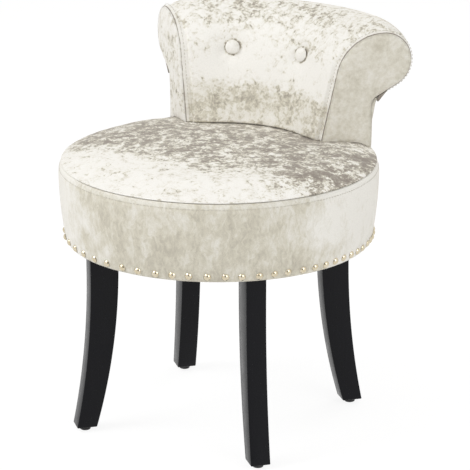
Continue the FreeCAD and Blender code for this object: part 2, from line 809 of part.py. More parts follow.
def toggle_face():
    """Depth of the toggles' faces behind the velvet; they clear the bent panel's hollow side."""
    hollow = toggle_r ** 2 / (2 * sweep_radius(0.0, front_panel_inset + front_panel_thickness))
    return front_panel_inset + front_panel_thickness + hollow + wood_gap


def twine(r, gap=0.0):
    bottom = -(toggle_face() + toggle_thickness + twine_tail)
    return on_buttons(Part.makeCylinder(r, -button_sink - bottom + gap, at(0, bottom)))


def twine_holes():
    return twine(twine_r + hole_gap, 2 * button_sink)


def back_button(bearing):
    base, shoulder, summit = soft_gap - button_sink, button_edge - button_sink, button_height - button_sink
    foot_radius = button_r - button_edge
    wire = outline((0, base), ((foot_radius, base),), ((button_r, shoulder),),
                   tangent_arc((0, summit), (1, 0), (button_r, shoulder))[:1] + ((0, summit),))
    return on_button(turned_on_z(wire), bearing)


def button_toggles():
    disc_shape = Part.makeCylinder(toggle_r, toggle_thickness, at(0, -toggle_face() - toggle_thickness))
    return Part.makeCompound([a.cut(b) for a, b in zip(on_buttons(disc_shape), twine_holes())])


def back_inner_cover():
    """Velvet up the inside face, over the roll and down to the neck, pulled in at the buttons."""
    def make(draw):
        inward = cover_runs(draw, velvet)
        return outline(seated_point(draw, 0.0), *cover_runs(draw, 0.0), (inward[-1][-1],),
                       *reversed_runs(seated_point(draw, velvet), inward))
    hollows = dimples(0.0)
    padding = band(velvet / 2, velvet + 2 * button_sink)
    cups = [bowl.cut(hollows).common(padding) for bowl in dimples(velvet)]
    return lofted(make).cut(hollows).fuse(cups).removeSplitter().cut(twine_holes())


def back_outer_cover():
    """Velvet from the seam at the neck down the outside face to the cushion."""
    heel, inner_heel = [(r, crown_height(r) + soft_gap) for r in (back_wall_r, back_wall_r - velvet)]

    def make(draw):
        upper, middle, lower = neck(draw, 0.0, 0.0)
        inner_upper, inner_middle, inner_lower = neck(draw, velvet, velvet)
        return outline(upper, (middle, lower), *lines(heel, inner_heel, inner_lower),
                       (inner_middle, inner_upper))
    return lofted(make)


def back_foam():
    """Padding of the inside face and sweep, thinned where it draws in at the ends."""
    pad = band(lining_inset, lining_inset + front_foam, False).common(wedge(frame_end_inset))
    inside = disc(roll_centre_r - wood_gap, 0, 2 * roll_top)
    return pad.common(inside).cut(dimples(lining_inset) + twine_holes())


def back_roll_foam():
    """Padding round the roll and along its underside to the neck."""
    far = lining_inset + roll_foam
    leave = on_roll(-roll_under_angle, 0.0, far)

    def make(draw):
        upper = neck(draw, lining_inset, lining_inset)[0]
        inner_end = (upper[0], leave[1] - (leave[0] - upper[0]) * math.tan(math.radians(underside_slope)))
        return outline(roll_summit(draw, lining_inset), *roll_runs(draw, lining_inset),
                       *lines(upper, inner_end, leave),
                       *reversed_runs(roll_summit(0.0, far), roll_runs(0.0, far)))
    return lofted(make).common(wedge(frame_end_inset)).cut(disc(roll_centre_r + soft_gap, 0, 2 * roll_top))


def write(name, shape):
    """One STEP file, moved so that the origin lies below the middle of the stool."""
    if isinstance(shape, list):
        shape = Part.makeCompound(shape)
    moved = shape.copy()
    moved.translate(FreeCAD.Vector(0, axis_y, 0))
    moved.exportStep(os.path.join("parts", name + ".step"))


def main():
    os.makedirs("parts", exist_ok=True)
    write("seat_base_board", seat_base_board())
    write("seat_hoop", seat_hoop())
    write("seat_deck", seat_deck())
    write("seat_foam", seat_foam())
    write("seat_side_padding", seat_side_padding())
    write("seat_top_cover", seat_top_cover())
    write("seat_side_cover", seat_side_cover())
    write("seat_topstitch", topstitch(0.0))
    write("nailhead_trim", nails())
    write("dust_cover", dust_cover())
    write("dust_cover_staples", staples())
    write("deck_screws", deck_screws(wood_screw(deck_thickness)))
    write("base_screws", base_screws(wood_screw(base_thickness)))
    for place, bearing in LEGS.items():
        write("seat_block_" + place, corner_block(bearing))
        write("leg_" + place, leg(bearing))
        write("glide_" + place, glide(bearing))
    write("leg_hanger_bolts", leg_hanger_bolts())
    write("leg_tee_nuts", tee_nuts(leg_middle_r, LEGS.values(), board_top, leg_bolt_r))
    write("leg_dowels", leg_dowels())

    core = back_core()
    write("back_mount_rail", back_mount_rail())
    write("back_mount_bolts", back_mount_bolts())
    write("back_mount_washers", back_mount_washers())
    write("back_mount_tee_nuts", tee_nuts(mount_rail_middle_r, back_bolt_bearings, rail_top, back_bolt_r))
    write("back_bottom_rail", back_bottom_rail(core))
    write("back_roll_rail", roll_rail_room())
    for place, bearing in MID_RIBS.items():
        write("back_mid_rib_" + place, mid_rib(core, bearing))
    write("back_rib_screws", rib_screws(wood_screw(back_rail_thickness)))
    write("back_front_panel", back_front_panel())
    write("back_rear_panel", back_rear_panel())
    write("back_foam", back_foam())
    write("back_roll_foam", back_roll_foam())
    write("back_inner_cover", back_inner_cover())
    write("back_outer_cover", back_outer_cover())
    padded = back_form(lining_inset)
    for place, side in {"left": -1, "right": 1}.items():
        write("back_end_rib_" + place, end_rib(core, side))
        write("back_end_pad_" + place, at_end(padded, side, lining_inset, end_pad_back))
        write("back_end_cover_" + place, at_end(padded, side, 0.0, velvet))
        write("back_button_" + place, back_button(button_bearings[place]))
    write("button_twine", twine(twine_r))
    write("button_toggles", button_toggles())


main()
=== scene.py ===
import json
import math
import random

import bmesh
import bpy
from bpy.props import FloatProperty, FloatVectorProperty, IntProperty, PointerProperty
from bpy.types import Operator, Panel, PropertyGroup
from mathutils import Matrix, Vector, noise


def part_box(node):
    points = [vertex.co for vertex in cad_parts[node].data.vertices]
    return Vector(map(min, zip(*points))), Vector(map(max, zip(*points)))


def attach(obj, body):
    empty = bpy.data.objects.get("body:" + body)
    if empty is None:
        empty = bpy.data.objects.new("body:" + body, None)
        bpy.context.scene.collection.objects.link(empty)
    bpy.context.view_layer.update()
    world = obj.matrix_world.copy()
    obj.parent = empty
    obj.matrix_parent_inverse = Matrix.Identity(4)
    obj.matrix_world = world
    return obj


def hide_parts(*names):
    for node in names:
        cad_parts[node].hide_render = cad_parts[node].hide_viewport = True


bl_info = {
    "name": "Vanity stool",
    "version": (1, 0, 0),
    "blender": (4, 5, 0),
    "location": "3D View > Sidebar > Vanity stool",
    "description": "Upholsters the vanity stool round its construction frame",
    "category": "Add Mesh",
}

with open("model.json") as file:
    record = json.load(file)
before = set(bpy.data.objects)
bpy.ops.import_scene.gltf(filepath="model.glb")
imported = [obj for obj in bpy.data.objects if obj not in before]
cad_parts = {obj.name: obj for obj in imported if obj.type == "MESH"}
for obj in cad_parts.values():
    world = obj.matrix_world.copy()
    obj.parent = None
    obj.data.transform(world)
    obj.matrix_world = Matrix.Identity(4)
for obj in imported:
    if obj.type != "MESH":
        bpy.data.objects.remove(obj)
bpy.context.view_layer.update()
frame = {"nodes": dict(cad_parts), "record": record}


def low(node):
    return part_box(node)[0]


def high(node):
    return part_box(node)[1]


def length(name, description, default):
    return FloatProperty(name=name, description=description, default=default, unit="LENGTH")


def angle(name, description, degrees):
    return FloatProperty(name=name, description=description, default=math.radians(degrees), subtype="ANGLE")


# Sizes and colours that a user would change
class SeatSizes(PropertyGroup):
    axis_y: length(
        "Seat axis", "Place of the round seat's axis along Y",
        (low("seat_base_board").y + high("seat_base_board").y) / 2)
    widest_radius: length(
        "Widest radius", "Radius of the drum where its side bulges most", high("seat_side_cover").x)
    seam_radius: length("Seam radius", "Radius of the seam between the top and the side", 0.222)
    foot_radius: length("Foot radius", "Radius of the side's bottom edge", 0.216)
    crown_height: length(
        "Crown height", "Height of the cushion's middle above the floor", high("seat_top_cover").z)
    shoulder_drop: length("Shoulder drop", "Fall of the top from its middle to the shoulder", 0.006)
    shoulder_width: length("Shoulder width", "Width of the rounded shoulder inside the seam", 0.030)
    seam_height: length("Seam height", "Height of the seam above the floor", high("seat_side_cover").z)
    widest_drop: length("Widest place", "Depth of the widest place below the seam", 0.014)
    foot_height: length(
        "Foot height", "Height of the side's bottom edge above the floor", low("seat_side_cover").z)
    turned_in: length("Turned in", "Width of the velvet turned in below the seat", 0.022)
    deck_height: length("Deck height", "Top of the wooden deck below the cushion", high("seat_deck").z)
    frame_radius: length("Frame radius", "Radius of the wooden frame", high("seat_deck").x)
    groove: length("Seam groove", "How deep and wide each seam rolls in", 0.0012)


class BackSizes(PropertyGroup):
    half_angle: angle("Half angle", "Bearing of each end of the back, from its middle", 49.0)
    wall_radius: length("Outside radius", "Radius of the upright outside face", 0.222)
    foot_radius: length("Inside radius", "Radius of the inside face where it meets the seat", 0.1295)
    foot_draw: length("Foot draw", "How far the inside face draws out at the ends", 0.0175)
    roll_radius: length("Roll radius", "Radius of the roll along the top", 0.0515)
    roll_overhang: length("Roll overhang", "Roll's centre outside the outside face", 0.016)
    roll_draw: length("Roll draw", "How far the roll draws in at the ends", 0.011)
    roll_top: length("Roll top", "Height of the roll's top above the floor", high("back_inner_cover").z)
    sweep_radius: length("Sweep radius", "Radius of the curve from the inside face to the roll", 0.081)
    draw_angle: angle("Draw angle", "The part of each end over which the padding draws in", 18.0)
    under_angle: angle("Underside start", "Where the underside leaves the roll, below level", 60.0)
    under_slope: angle("Underside slope", "Slope of the roll's underside towards the neck", 30.0)
    neck_radius: length("Neck radius", "Radius of the hollow below the roll", 0.014)
    front_padding: length("Inside padding", "Thickness of the padding of the inside face", 0.0235)
    roll_padding: length("Roll padding", "Thickness of the padding round the roll", 0.0175)
    panel: length("End panel", "Thickness of each padded end panel", 0.0018)


class TrimSizes(PropertyGroup):
    nail_count: IntProperty(
        name="Nails", description="Domed nails round the drum", default=60, min=8)
    nail_radius: length("Nail radius", "Radius of a nail's domed head", 0.005)
    nail_dome: length("Nail dome", "Height of a nail's domed head", 0.0034)
    nail_rise: length("Nail height", "Height of the nails above the side's bottom edge", 0.008)
    button_radius: length("Button radius", "Radius of a covered button", 0.011)
    button_height: length("Button height", "Height of a covered button", 0.0065)
    tuft_depth: length("Tuft depth", "How deep a button pulls into the padding", 0.0058)
    tuft_width: length("Tuft width", "Reach of the hollow round a button", 0.013)
    stitch_length: length("Stitch", "Length of one stitch of the topstitching", 0.0042)
    stitch_gap: length("Stitch gap", "Gap between two stitches", 0.0010)
    thread_radius: length("Thread radius", "Radius of the sewing thread", 0.0005)
    topstitch_drop: length("Topstitching", "Depth of the topstitching below the seam", 0.0075)
    end_stitching: length("End stitching", "Place of the stitching inside the back's end planes", 0.0066)


class LegSizes(PropertyGroup):
    top_height: length("Leg top", "Height of a leg's top above the floor", high("leg_front_left").z)
    outer_radius: length("Outer edge", "Outer edge of a leg's top, from the seat's axis", 0.190)
    depth: length("Leg depth", "Depth of a leg's top, towards the axis", 0.0405)
    thickness: length("Leg thickness", "Thickness of a leg, across its curve", 0.028)
    straight_outer: length("Straight outside", "Straight length of the outer edge at the top", 0.0465)
    straight_inner: length("Straight inside", "Straight length of the inner edge at the top", 0.0265)
    flare_outer: length("Outer flare", "How far the outer edge has moved out at the foot", 0.0233)
    flare_inner: length("Inner flare", "How far the inner edge has moved out at the foot", 0.0349)
    edge_radius: length("Edge radius", "Rounding of a leg's long edges", 0.0013)
    opening_gap: length("Leg opening", "Gap round each leg in the cloth below the seat", 0.0015)
    glide_radius: length("Glide radius", "Radius of the glide below a leg", 0.0078)
    glide_height: length("Glide height", "Height of the glide below a leg", low("leg_front_left").z)


def button_place(side):
    return (low("back_button_" + side) + high("back_button_" + side)) / 2


def colour(name, description, value):
    return FloatVectorProperty(name=name, description=description, subtype="COLOR",
                               size=3, min=0.0, max=1.0, default=value)


class Finishes(PropertyGroup):
    # The velvet tones: the crushed pattern is the velvet's own, its light tone is painted sheen and its dark
    # tone painted shade
    velvet_light: colour("Velvet, light", "Pile that lies towards the light", (0.90, 0.885, 0.845))
    velvet_mid: colour("Velvet, middle", "Upright pile", (0.66, 0.625, 0.52))
    velvet_dark: colour("Velvet, dark", "Crushed pile that lies away from the light",
                        (0.285, 0.250, 0.218))
    leg_black: colour("Leg lacquer", "Satin black lacquer", (0.0012, 0.0012, 0.0030))
    brass: colour("Nails", "Pale polished brass", (0.62, 0.54, 0.38))
    thread: colour("Thread", "Sewing thread", (0.62, 0.59, 0.52))
    cloth_black: colour("Dust cover", "Black cloth below the seat", (0.020, 0.020, 0.022))
    plastic: colour("Glides", "Black plastic", (0.012, 0.012, 0.013))
    plywood: colour("Plywood", "Birch plywood of the frame", (0.62, 0.45, 0.27))
    beech: colour("Beech", "Beech dowels", (0.66, 0.46, 0.27))
    hardboard: colour("Hardboard", "Brown hardboard", (0.30, 0.19, 0.105))
    foam: colour("Foam", "Cream foam", (0.83, 0.77, 0.58))
    steel: colour("Steel", "Zinc-plated steel", (0.58, 0.58, 0.60))
    toggle: colour("Toggles", "White plastic toggles", (0.75, 0.74, 0.70))


LEG_BEARINGS = {"back_right": 45.0, "front_right": 135.0, "front_left": 225.0, "back_left": -45.0}
SIDES = {"left": -1, "right": 1}
REST_GAP = 0.0003           # between two soft faces that rest on each other
SEAM_GAP = 0.0002           # from a sewn seam's line to each of its two pieces
BACK_ROWS = 84              # sections of the back, from one end to the other
BACK_COVER = 0.0016         # thickness of the back's outside cover
CLOTH_FRAMES = 20           # frames over which padding fills out
WHITE, BLACK = (1.0, 1.0, 1.0), (0.0, 0.0, 0.0)


# Shapes in the plane of a section, as (radius, height)
def arc(centre, radius, start, end, count):
    """Points of an arc, its angles in radians, from its start to its end."""
    angles = [start + (end - start) * i / count for i in range(count + 1)]
    return [(centre[0] + radius * math.cos(a), centre[1] + radius * math.sin(a)) for a in angles]


def tangent_centre(start, direction, end):
    """Centre of the circle that leaves start along the direction and passes through end."""
    normal = (-direction[1], direction[0])
    chord = (end[0] - start[0], end[1] - start[1])
    swing = (chord[0] ** 2 + chord[1] ** 2) / (2 * (chord[0] * normal[0] + chord[1] * normal[1]))
    return start[0] + normal[0] * swing, start[1] + normal[1] * swing


def tangent_arc(start, direction, end, count):
    """Points of the arc that leaves start along the direction and reaches end."""
    centre = tangent_centre(start, direction, end)
    first = math.atan2(start[1] - centre[1], start[0] - centre[0])
    last = math.atan2(end[1] - centre[1], end[0] - centre[0])
    turn = (last - first + math.pi) % math.tau - math.pi
    return arc(centre, math.dist(start, centre), first, first + turn, count)


def between(start, end, count):
    """Points of a straight run, from its start to its end."""
    return [(start[0] + (end[0] - start[0]) * i / count, start[1] + (end[1] - start[1]) * i / count)
            for i in range(count + 1)]


# Surface of the seat
def dome_radius(seat):
    shoulder = seat.seam_radius - seat.shoulder_width
    return (shoulder ** 2 + seat.shoulder_drop ** 2) / (2 * seat.shoulder_drop)


def shoulder_centre(seat):
    shoulder = seat.seam_radius - seat.shoulder_width
    lean = math.asin(shoulder / dome_radius(seat))
    return tangent_centre((shoulder, seat.crown_height - seat.shoulder_drop),
                          (math.cos(lean), -math.sin(lean)), (seat.seam_radius, seat.seam_height))


def crown_at(seat, radius):
    """Height of the cushion's top at a radius."""
    if radius <= seat.seam_radius - seat.shoulder_width:
        dome = dome_radius(seat)
        return seat.crown_height - dome + math.sqrt(dome ** 2 - radius ** 2)
    centre = shoulder_centre(seat)
    reach = math.dist(centre, (seat.seam_radius, seat.seam_height))
    return centre[1] + math.sqrt(max(reach ** 2 - (radius - centre[0]) ** 2, 0.0))


def side_curves(seat):
    """The drum's side from the seam to the widest place, and on down to its foot."""
    widest = (seat.widest_radius, seat.seam_height - seat.widest_drop)
    upper = tangent_arc(widest, (0, 1), (seat.seam_radius, seat.seam_height), 6)[::-1]
    lower = tangent_arc(widest, (0, -1), (seat.foot_radius, seat.foot_height), 26)
    return upper, lower


def side_place(seat, height):
    """Radius of the drum's side at a height, and its tilt downwards."""
    widest = (seat.widest_radius, seat.seam_height - seat.widest_drop)
    above = height > widest[1]
    end = (seat.seam_radius, seat.seam_height) if above else (seat.foot_radius, seat.foot_height)
    centre = tangent_centre(widest, (0, 1) if above else (0, -1), end)
    reach = widest[0] - centre[0]
    drop = widest[1] - height
    return centre[0] + math.sqrt(reach ** 2 - drop ** 2), math.asin(drop / reach)


# Surface of the back. A draw of 0 is the full section, and of 1 the drawn-in section at its ends
def draw_at(back, bearing):
    start = back.half_angle - back.draw_angle
    return max(0.0, (abs(bearing) - start) / back.draw_angle) ** 2


def roll_centre(back):
    return back.wall_radius + back.roll_overhang, back.roll_top - back.roll_radius


def inside_line(seat, back, draw, inset):
    """Top of the inside face's straight part and its direction, drawn in by inset."""
    foot = (back.foot_radius + back.foot_draw * draw, seat.crown_height - seat.shoulder_drop)
    centre = (roll_centre(back)[0], back.roll_top - back.sweep_radius)
    across, rise = centre[0] - foot[0], centre[1] - foot[1]
    radius = back.sweep_radius - back.roll_draw * draw
    lean = math.atan2(rise, across) + math.asin(radius / math.hypot(across, rise))
    direction = (math.cos(lean), math.sin(lean))
    radius -= inset
    return (centre[0] - direction[1] * radius, centre[1] + direction[0] * radius), direction


def seated(seat, back, draw, inset):
    """Point of the inside face just above the cushion."""
    top, direction = inside_line(seat, back, draw, inset)
    radius = back.foot_radius + back.foot_draw * draw + inset
    height = crown_at(seat, radius) + REST_GAP
    return top[0] - (top[1] - height) * direction[0] / direction[1], height


def neck(back, draw):
    """Upper and lower end of the hollow between the roll's underside and the outside face."""
    centre, radius = roll_centre(back), back.roll_radius - back.roll_draw * draw
    leave = arc(centre, radius, -back.under_angle, 0.0, 1)[0]
    slope = math.tan(back.under_slope)
    corner = leave[1] - (leave[0] - back.wall_radius) * slope
    reach = back.neck_radius * math.tan((math.pi / 2 - back.under_slope) / 2)
    upper = arc((back.wall_radius, corner), reach, back.under_slope, 0.0, 1)[0]
    return upper, (back.wall_radius, corner - reach)


STRAIGHT_STEPS, SWEEP_STEPS, ROLL_STEPS, UNDER_STEPS = 24, 22, 28, 8


def padded_face(seat, back, draw, inset, padding=0.0, neck_padding=0.0):
    """The inside face, the sweep, the roll and its underside, drawn in by inset and by a padding that
    changes from the face to the roll."""
    points = []
    face_inset = inset + padding
    top = inside_line(seat, back, draw, face_inset)[0]
    points += between(seated(seat, back, draw, face_inset), top, STRAIGHT_STEPS)
    centre = (roll_centre(back)[0], back.roll_top - back.sweep_radius)
    direction = inside_line(seat, back, draw, 0.0)[1]
    first = math.atan2(direction[0], -direction[1])
    roll_padding = padding * back.roll_padding / back.front_padding
    for i in range(1, SWEEP_STEPS + 1):
        share = i / SWEEP_STEPS
        radius = back.sweep_radius - back.roll_draw * draw - inset
        radius -= padding + (roll_padding - padding) * share
        angle = first + (math.pi / 2 - first) * share
        points.append((centre[0] + radius * math.cos(angle), centre[1] + radius * math.sin(angle)))
    centre = roll_centre(back)
    radius = back.roll_radius - back.roll_draw * draw - inset - roll_padding
    points += arc(centre, radius, math.pi / 2, -back.under_angle, ROLL_STEPS)[1:]
    leave = points[-1]
    end_radius = neck(back, draw)[0][0] + REST_GAP
    full = neck(back, draw)[0][1]
    end = (end_radius, full + (inset + neck_padding) / math.cos(back.under_slope))
    points += between(leave, end, UNDER_STEPS)[1:]
    return points


# Meshes
def placed(radius, height, bearing):
    """The point at a radius and height, at a bearing from the back towards the right."""
    return Vector((radius * math.sin(bearing), radius * math.cos(bearing), height))


def wire(bm, points, closed):
    """Joined vertices in the X-Z plane."""
    verts = [bm.verts.new((r, 0.0, z)) for r, z in points]
    edges = [bm.edges.new(pair) for pair in zip(verts, verts[1:])]
    if closed:
        edges.append(bm.edges.new((verts[-1], verts[0])))
    return verts, edges


def outward(bm):
    bmesh.ops.recalc_face_normals(bm, faces=bm.faces[:])


def turn(bm, matrix):
    bmesh.ops.rotate(bm, verts=bm.verts[:], cent=(0, 0, 0), matrix=matrix)


def turn_about_axis(bm, bearing):
    turn(bm, Matrix.Rotation(bearing, 3, "Z"))


def shifted(bm, verts, vec):
    bmesh.ops.translate(bm, verts=verts, vec=vec)


def extruded(bm):
    """The new vertices of a bmesh whose faces are extruded in place."""
    made = bmesh.ops.extrude_face_region(bm, geom=bm.faces[:])["geom"]
    return [v for v in made if isinstance(v, bmesh.types.BMVert)]


def cut_across(bm, axis, places, dist):
    """Cuts a bmesh by planes at right angles to an axis, at these places along it."""
    for place in places:
        bmesh.ops.bisect_plane(bm, geom=bm.verts[:] + bm.edges[:] + bm.faces[:], dist=dist,
                               plane_co=axis * place, plane_no=axis)


def as_mesh(bm, name):
    """The mesh of a bmesh, which is then freed."""
    mesh = bpy.data.meshes.new(name)
    bm.to_mesh(mesh)
    bm.free()
    return mesh


def swept(outline, half_angle):
    """A closed outline swept round the seat's axis between two bearings, and the layer with each
    vertex's number in the outline."""
    bm = bmesh.new()
    order = bm.verts.layers.int.new("order")
    verts, edges = wire(bm, outline, closed=True)
    for index, v in enumerate(verts):
        v[order] = index
    turn_about_axis(bm, math.pi / 2 - half_angle)
    bmesh.ops.spin(bm, geom=verts + edges, cent=(0, 0, 0), axis=(0, 0, 1), angle=2 * half_angle,
                   steps=BACK_ROWS)
    return bm, order


def turned_solid(points, steps, closed=False):
    """A bmesh turned about the Z axis from an outline."""
    bm = bmesh.new()
    verts, edges = wire(bm, points, closed)
    bmesh.ops.spin(bm, geom=verts + edges, cent=(0, 0, 0), axis=(0, 0, 1), angle=math.tau,
                   steps=steps, use_merge=True)
    bmesh.ops.remove_doubles(bm, verts=bm.verts[:], dist=1e-6)
    outward(bm)
    return bm


def repeated(shape, places):
    """A bmesh with a copy of the shape's mesh at each place, given as a matrix."""
    bm = bmesh.new()
    for place in places:
        one = shape.copy()
        one.transform(place)
        bm.from_mesh(one)
        bpy.data.meshes.remove(one)
    bpy.data.meshes.remove(shape)
    return bm


def stitch(trim):
    """The mesh of one stitch, lying along X."""
    bm = bmesh.new()
    size = Matrix.Diagonal((trim.stitch_length / 2, trim.thread_radius, trim.thread_radius, 1.0))
    bmesh.ops.create_uvsphere(bm, u_segments=6, v_segments=5, radius=1.0, matrix=size)
    return as_mesh(bm, "stitch")


def link(mesh, name):
    obj = bpy.data.objects.new(name, mesh)
    bpy.context.scene.collection.objects.link(obj)
    return obj


def piece(bm, name, look, replaced, move, smooth=math.pi):
    """The finished object of a bmesh, in its place, on its body, with the parts that it replaces hidden."""
    if bm.calc_volume(signed=True) < 0.0:
        bmesh.ops.reverse_faces(bm, faces=bm.faces[:])
    shifted(bm, bm.verts[:], move)
    mesh = as_mesh(bm, name)
    obj = link(mesh, name)
    mesh.materials.append(finish(look))
    mesh.shade_smooth()
    if smooth < math.pi:
        mesh.set_sharp_from_angle(angle=smooth)
    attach(obj, "root")
    if replaced:
        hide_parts(*replaced)
    return obj


def subdivided(obj):
    modifier = obj.modifiers.new("Rounded", "SUBSURF")
    modifier.levels = modifier.render_levels = 1


def puffed(bm, held, pressure, most):
    """Fills a padded piece by cloth simulation, with its held vertices still and no other one moved by
    more than most."""
    scene = bpy.context.scene
    mesh = bpy.data.meshes.new("filling")
    bm.to_mesh(mesh)
    cloth = link(mesh, "filling")
    still = cloth.vertex_groups.new(name="held")
    still.add([v.index for v in bm.verts if v in held], 1.0, "REPLACE")
    modifier = cloth.modifiers.new("Cloth", "CLOTH")
    settings = modifier.settings
    settings.quality = 6
    settings.mass = 0.15
    settings.tension_stiffness = settings.compression_stiffness = 18.0
    settings.shear_stiffness = 8.0
    settings.bending_stiffness = 0.6
    settings.use_pressure = True
    settings.uniform_pressure_force = pressure
    settings.vertex_group_mass = "held"
    settings.pin_stiffness = 5.0
    settings.effector_weights.gravity = 0.0
    modifier.collision_settings.use_collision = False
    modifier.point_cache.frame_start, modifier.point_cache.frame_end = 1, CLOTH_FRAMES
    for step in range(1, CLOTH_FRAMES + 1):
        scene.frame_set(step)
    result = cloth.evaluated_get(bpy.context.evaluated_depsgraph_get()).to_mesh()
    bm.verts.ensure_lookup_table()
    for vertex, moved in zip(bm.verts, result.vertices):
        if vertex not in held:
            shift = moved.co - vertex.co
            vertex.co += shift * min(1.0, most / max(shift.length, 1e-9))
    scene.frame_set(1)
    bpy.data.objects.remove(cloth)
    bpy.data.meshes.remove(mesh)


# Material nodes
class Nodes:
    """A node tree of a material or a world, built with short calls."""

    def __init__(self, owner, output):
        owner.use_nodes = True
        self.tree = owner.node_tree
        self.tree.nodes.clear()
        self.output = self.add(output)

    def add(self, kind, **values):
        node = self.tree.nodes.new(kind)
        for key, value in values.items():
            setattr(node, key, value)
        return node

    def join(self, source, target):
        self.tree.links.new(source, target)

    def put(self, socket, value):
        """Joins another node's output to a socket, or sets a number, vector or colour."""
        if isinstance(value, bpy.types.NodeSocket):
            self.join(value, socket)
        else:
            socket.default_value = (*value, 1.0) if socket.type == "RGBA" else value

    def filled(self, node, *values):
        """The output of a node, its first sockets filled in order."""
        for socket, value in zip(node.inputs, values):
            self.put(socket, value)
        return node.outputs[0]

    def math(self, operation, a, b=0.0, c=0.0):
        return self.filled(self.add("ShaderNodeMath", operation=operation), a, b, c)

    def plus(self, first, *others):
        for other in others:
            first = self.math("ADD", first, other)
        return first

    def minus(self, a, b):
        return self.math("SUBTRACT", a, b)

    def times(self, a, b):
        return self.math("MULTIPLY", a, b)

    def scaled(self, value, factor, offset):
        return self.math("MULTIPLY_ADD", value, factor, offset)

    def vector(self, operation, a, b=(0.0, 0.0, 0.0), scale=1.0):
        node = self.add("ShaderNodeVectorMath", operation=operation)
        for index, value in ((0, a), (1, b), (3, scale)):
            self.put(node.inputs[index], value)
        return node.outputs["Value" if operation in ("DOT_PRODUCT", "DISTANCE") else "Vector"]

    def parts(self, vector):
        node = self.add("ShaderNodeSeparateXYZ")
        self.join(vector, node.inputs[0])
        return node.outputs

    def range(self, value, low_end, high_end, to_low=0.0, to_high=1.0):
        """A value eased from one range to another, and held beyond its ends."""
        node = self.add("ShaderNodeMapRange", interpolation_type="SMOOTHSTEP")
        return self.filled(node, value, low_end, high_end, to_low, to_high)

    def light(self, kind, colour, strength):
        node = self.add(kind)
        self.put(node.inputs["Color"], colour)
        self.put(node.inputs["Strength"], strength)
        return node.outputs[0]

    def seen(self, path):
        """1 where the camera looks, also by way of a mirror or glass, and 0 for the rays that light."""
        mirrored = self.math("MAXIMUM", path["Is Glossy Ray"], path["Is Transmission Ray"])
        return self.math("MAXIMUM", path["Is Camera Ray"], mirrored)

    def blend(self, share, a, b):
        """Sets the output's surface to a mix of two shaders."""
        mixed_surface = self.filled(self.add("ShaderNodeMixShader"), share, a, b)
        self.join(mixed_surface, self.output.inputs["Surface"])


class Shader(Nodes):
    """A material's nodes, with its surface and the place on the object."""

    def __init__(self, name):
        self.material = bpy.data.materials.new(name)
        super().__init__(self.material, "ShaderNodeOutputMaterial")
        self.surface = self.add("ShaderNodeBsdfPrincipled")
        self.join(self.surface.outputs["BSDF"], self.output.inputs["Surface"])
        self.place = self.add("ShaderNodeTexCoord").outputs["Object"]

    def noise(self, vector, scale, detail=2.0, roughness=0.5, distortion=0.0, colour=False):
        node = self.add("ShaderNodeTexNoise")
        for key, value in (("Vector", vector), ("Scale", scale), ("Detail", detail),
                           ("Roughness", roughness), ("Distortion", distortion)):
            self.put(node.inputs[key], value)
        return node.outputs["Color" if colour else "Fac"]

    def ramp(self, value, stops):
        """Colours by position; each stop is a position and a colour."""
        node = self.add("ShaderNodeValToRGB")
        elements = node.color_ramp.elements
        while len(elements) < len(stops):
            elements.new(0.5)
        for element, (position, tone) in zip(elements, stops):
            element.position = position
            element.color = (*tone, 1.0)
        self.join(value, node.inputs["Fac"])
        return node.outputs["Color"]

    def grey(self, value):
        """A value as a grey colour."""
        return self.filled(self.add("ShaderNodeCombineColor"), value, value, value)

    def mix(self, share, a, b, blend="MIX"):
        node = self.add("ShaderNodeMix", data_type="RGBA", blend_type=blend)
        self.put(node.inputs["Factor"], share)
        for socket, value in zip([s for s in node.inputs if s.type == "RGBA"], (a, b)):
            self.put(socket, value)
        return next(s for s in node.outputs if s.type == "RGBA")

    def bump(self, height, strength, distance, normal=None):
        node = self.add("ShaderNodeBump")
        for key, value in (("Strength", strength), ("Distance", distance), ("Height", height)):
            self.put(node.inputs[key], value)
        if normal is not None:
            self.join(normal, node.inputs["Normal"])
        return node.outputs["Normal"]

    def finish(self, **values):
        """Sets the surface's sockets by name, with spaces written as underscores."""
        for key, value in values.items():
            self.put(self.surface.inputs[key.replace("_", " ")], value)
        return self.material


made_materials = {}


# Finishes
def mixed(a, b, share):
    return tuple(x + (y - x) * share for x, y in zip(a, b))


def pile(colours, share):
    """The velvet's tone, from 0 for light over 1 for middle to 2 for dark."""
    if share < 1.0:
        return mixed(colours.velvet_light, colours.velvet_mid, share)
    return mixed(colours.velvet_mid, colours.velvet_dark, share - 1.0)


# Stops of a velvet's pattern: how far the pile lies away from the light, and the tone it then has; the light
# and dark tones are painted sheen and painted shade laid over the pile's own crushed pattern
CRUSHED = ((0.30, 0.0), (0.46, 0.40), (0.515, 0.95), (0.60, 1.60), (0.78, 2.0))
BRUSHED = ((0.20, 0.15), (0.42, 0.55), (0.58, 0.95), (0.80, 1.35))
EVEN = ((0.15, 0.35), (0.5, 0.75), (0.85, 1.15))

# Where the velvet changes, measured in metres from the seat's axis on the floor
SEAT_SHADE_TURN = (-0.150, -0.050)        # along Y, from the front's painted sheen to the rear's painted shade
BAND_SHEEN_TURN = (0.45, 0.90)            # along BAND_FRONT, from the sides' painted sheen to the beige front
BAND_FRONT = (1.63, -4.15, 0.0)
LOWER_THIRD = (0.451, 0.466)        # heights from the back's painted shade, grey over its lower part, to its light middle
PAINTED_HIGHLIGHT_LINE = 0.488                  # height of the back's painted highlight line
PAINTED_HIGHLIGHT_REACH = (0.012, 0.032)        # how far the painted highlight reaches from that line
RIDGE = (0.525, 0.560)              # heights from the light middle to the crushed ridge
BUTTON_SHADE = (0.0115, 0.0150)     # reach of the painted shade round a button's middle


def pattern(sh, away, tones, colours):
    return sh.ramp(away, [(position, pile(colours, share)) for position, share in tones])


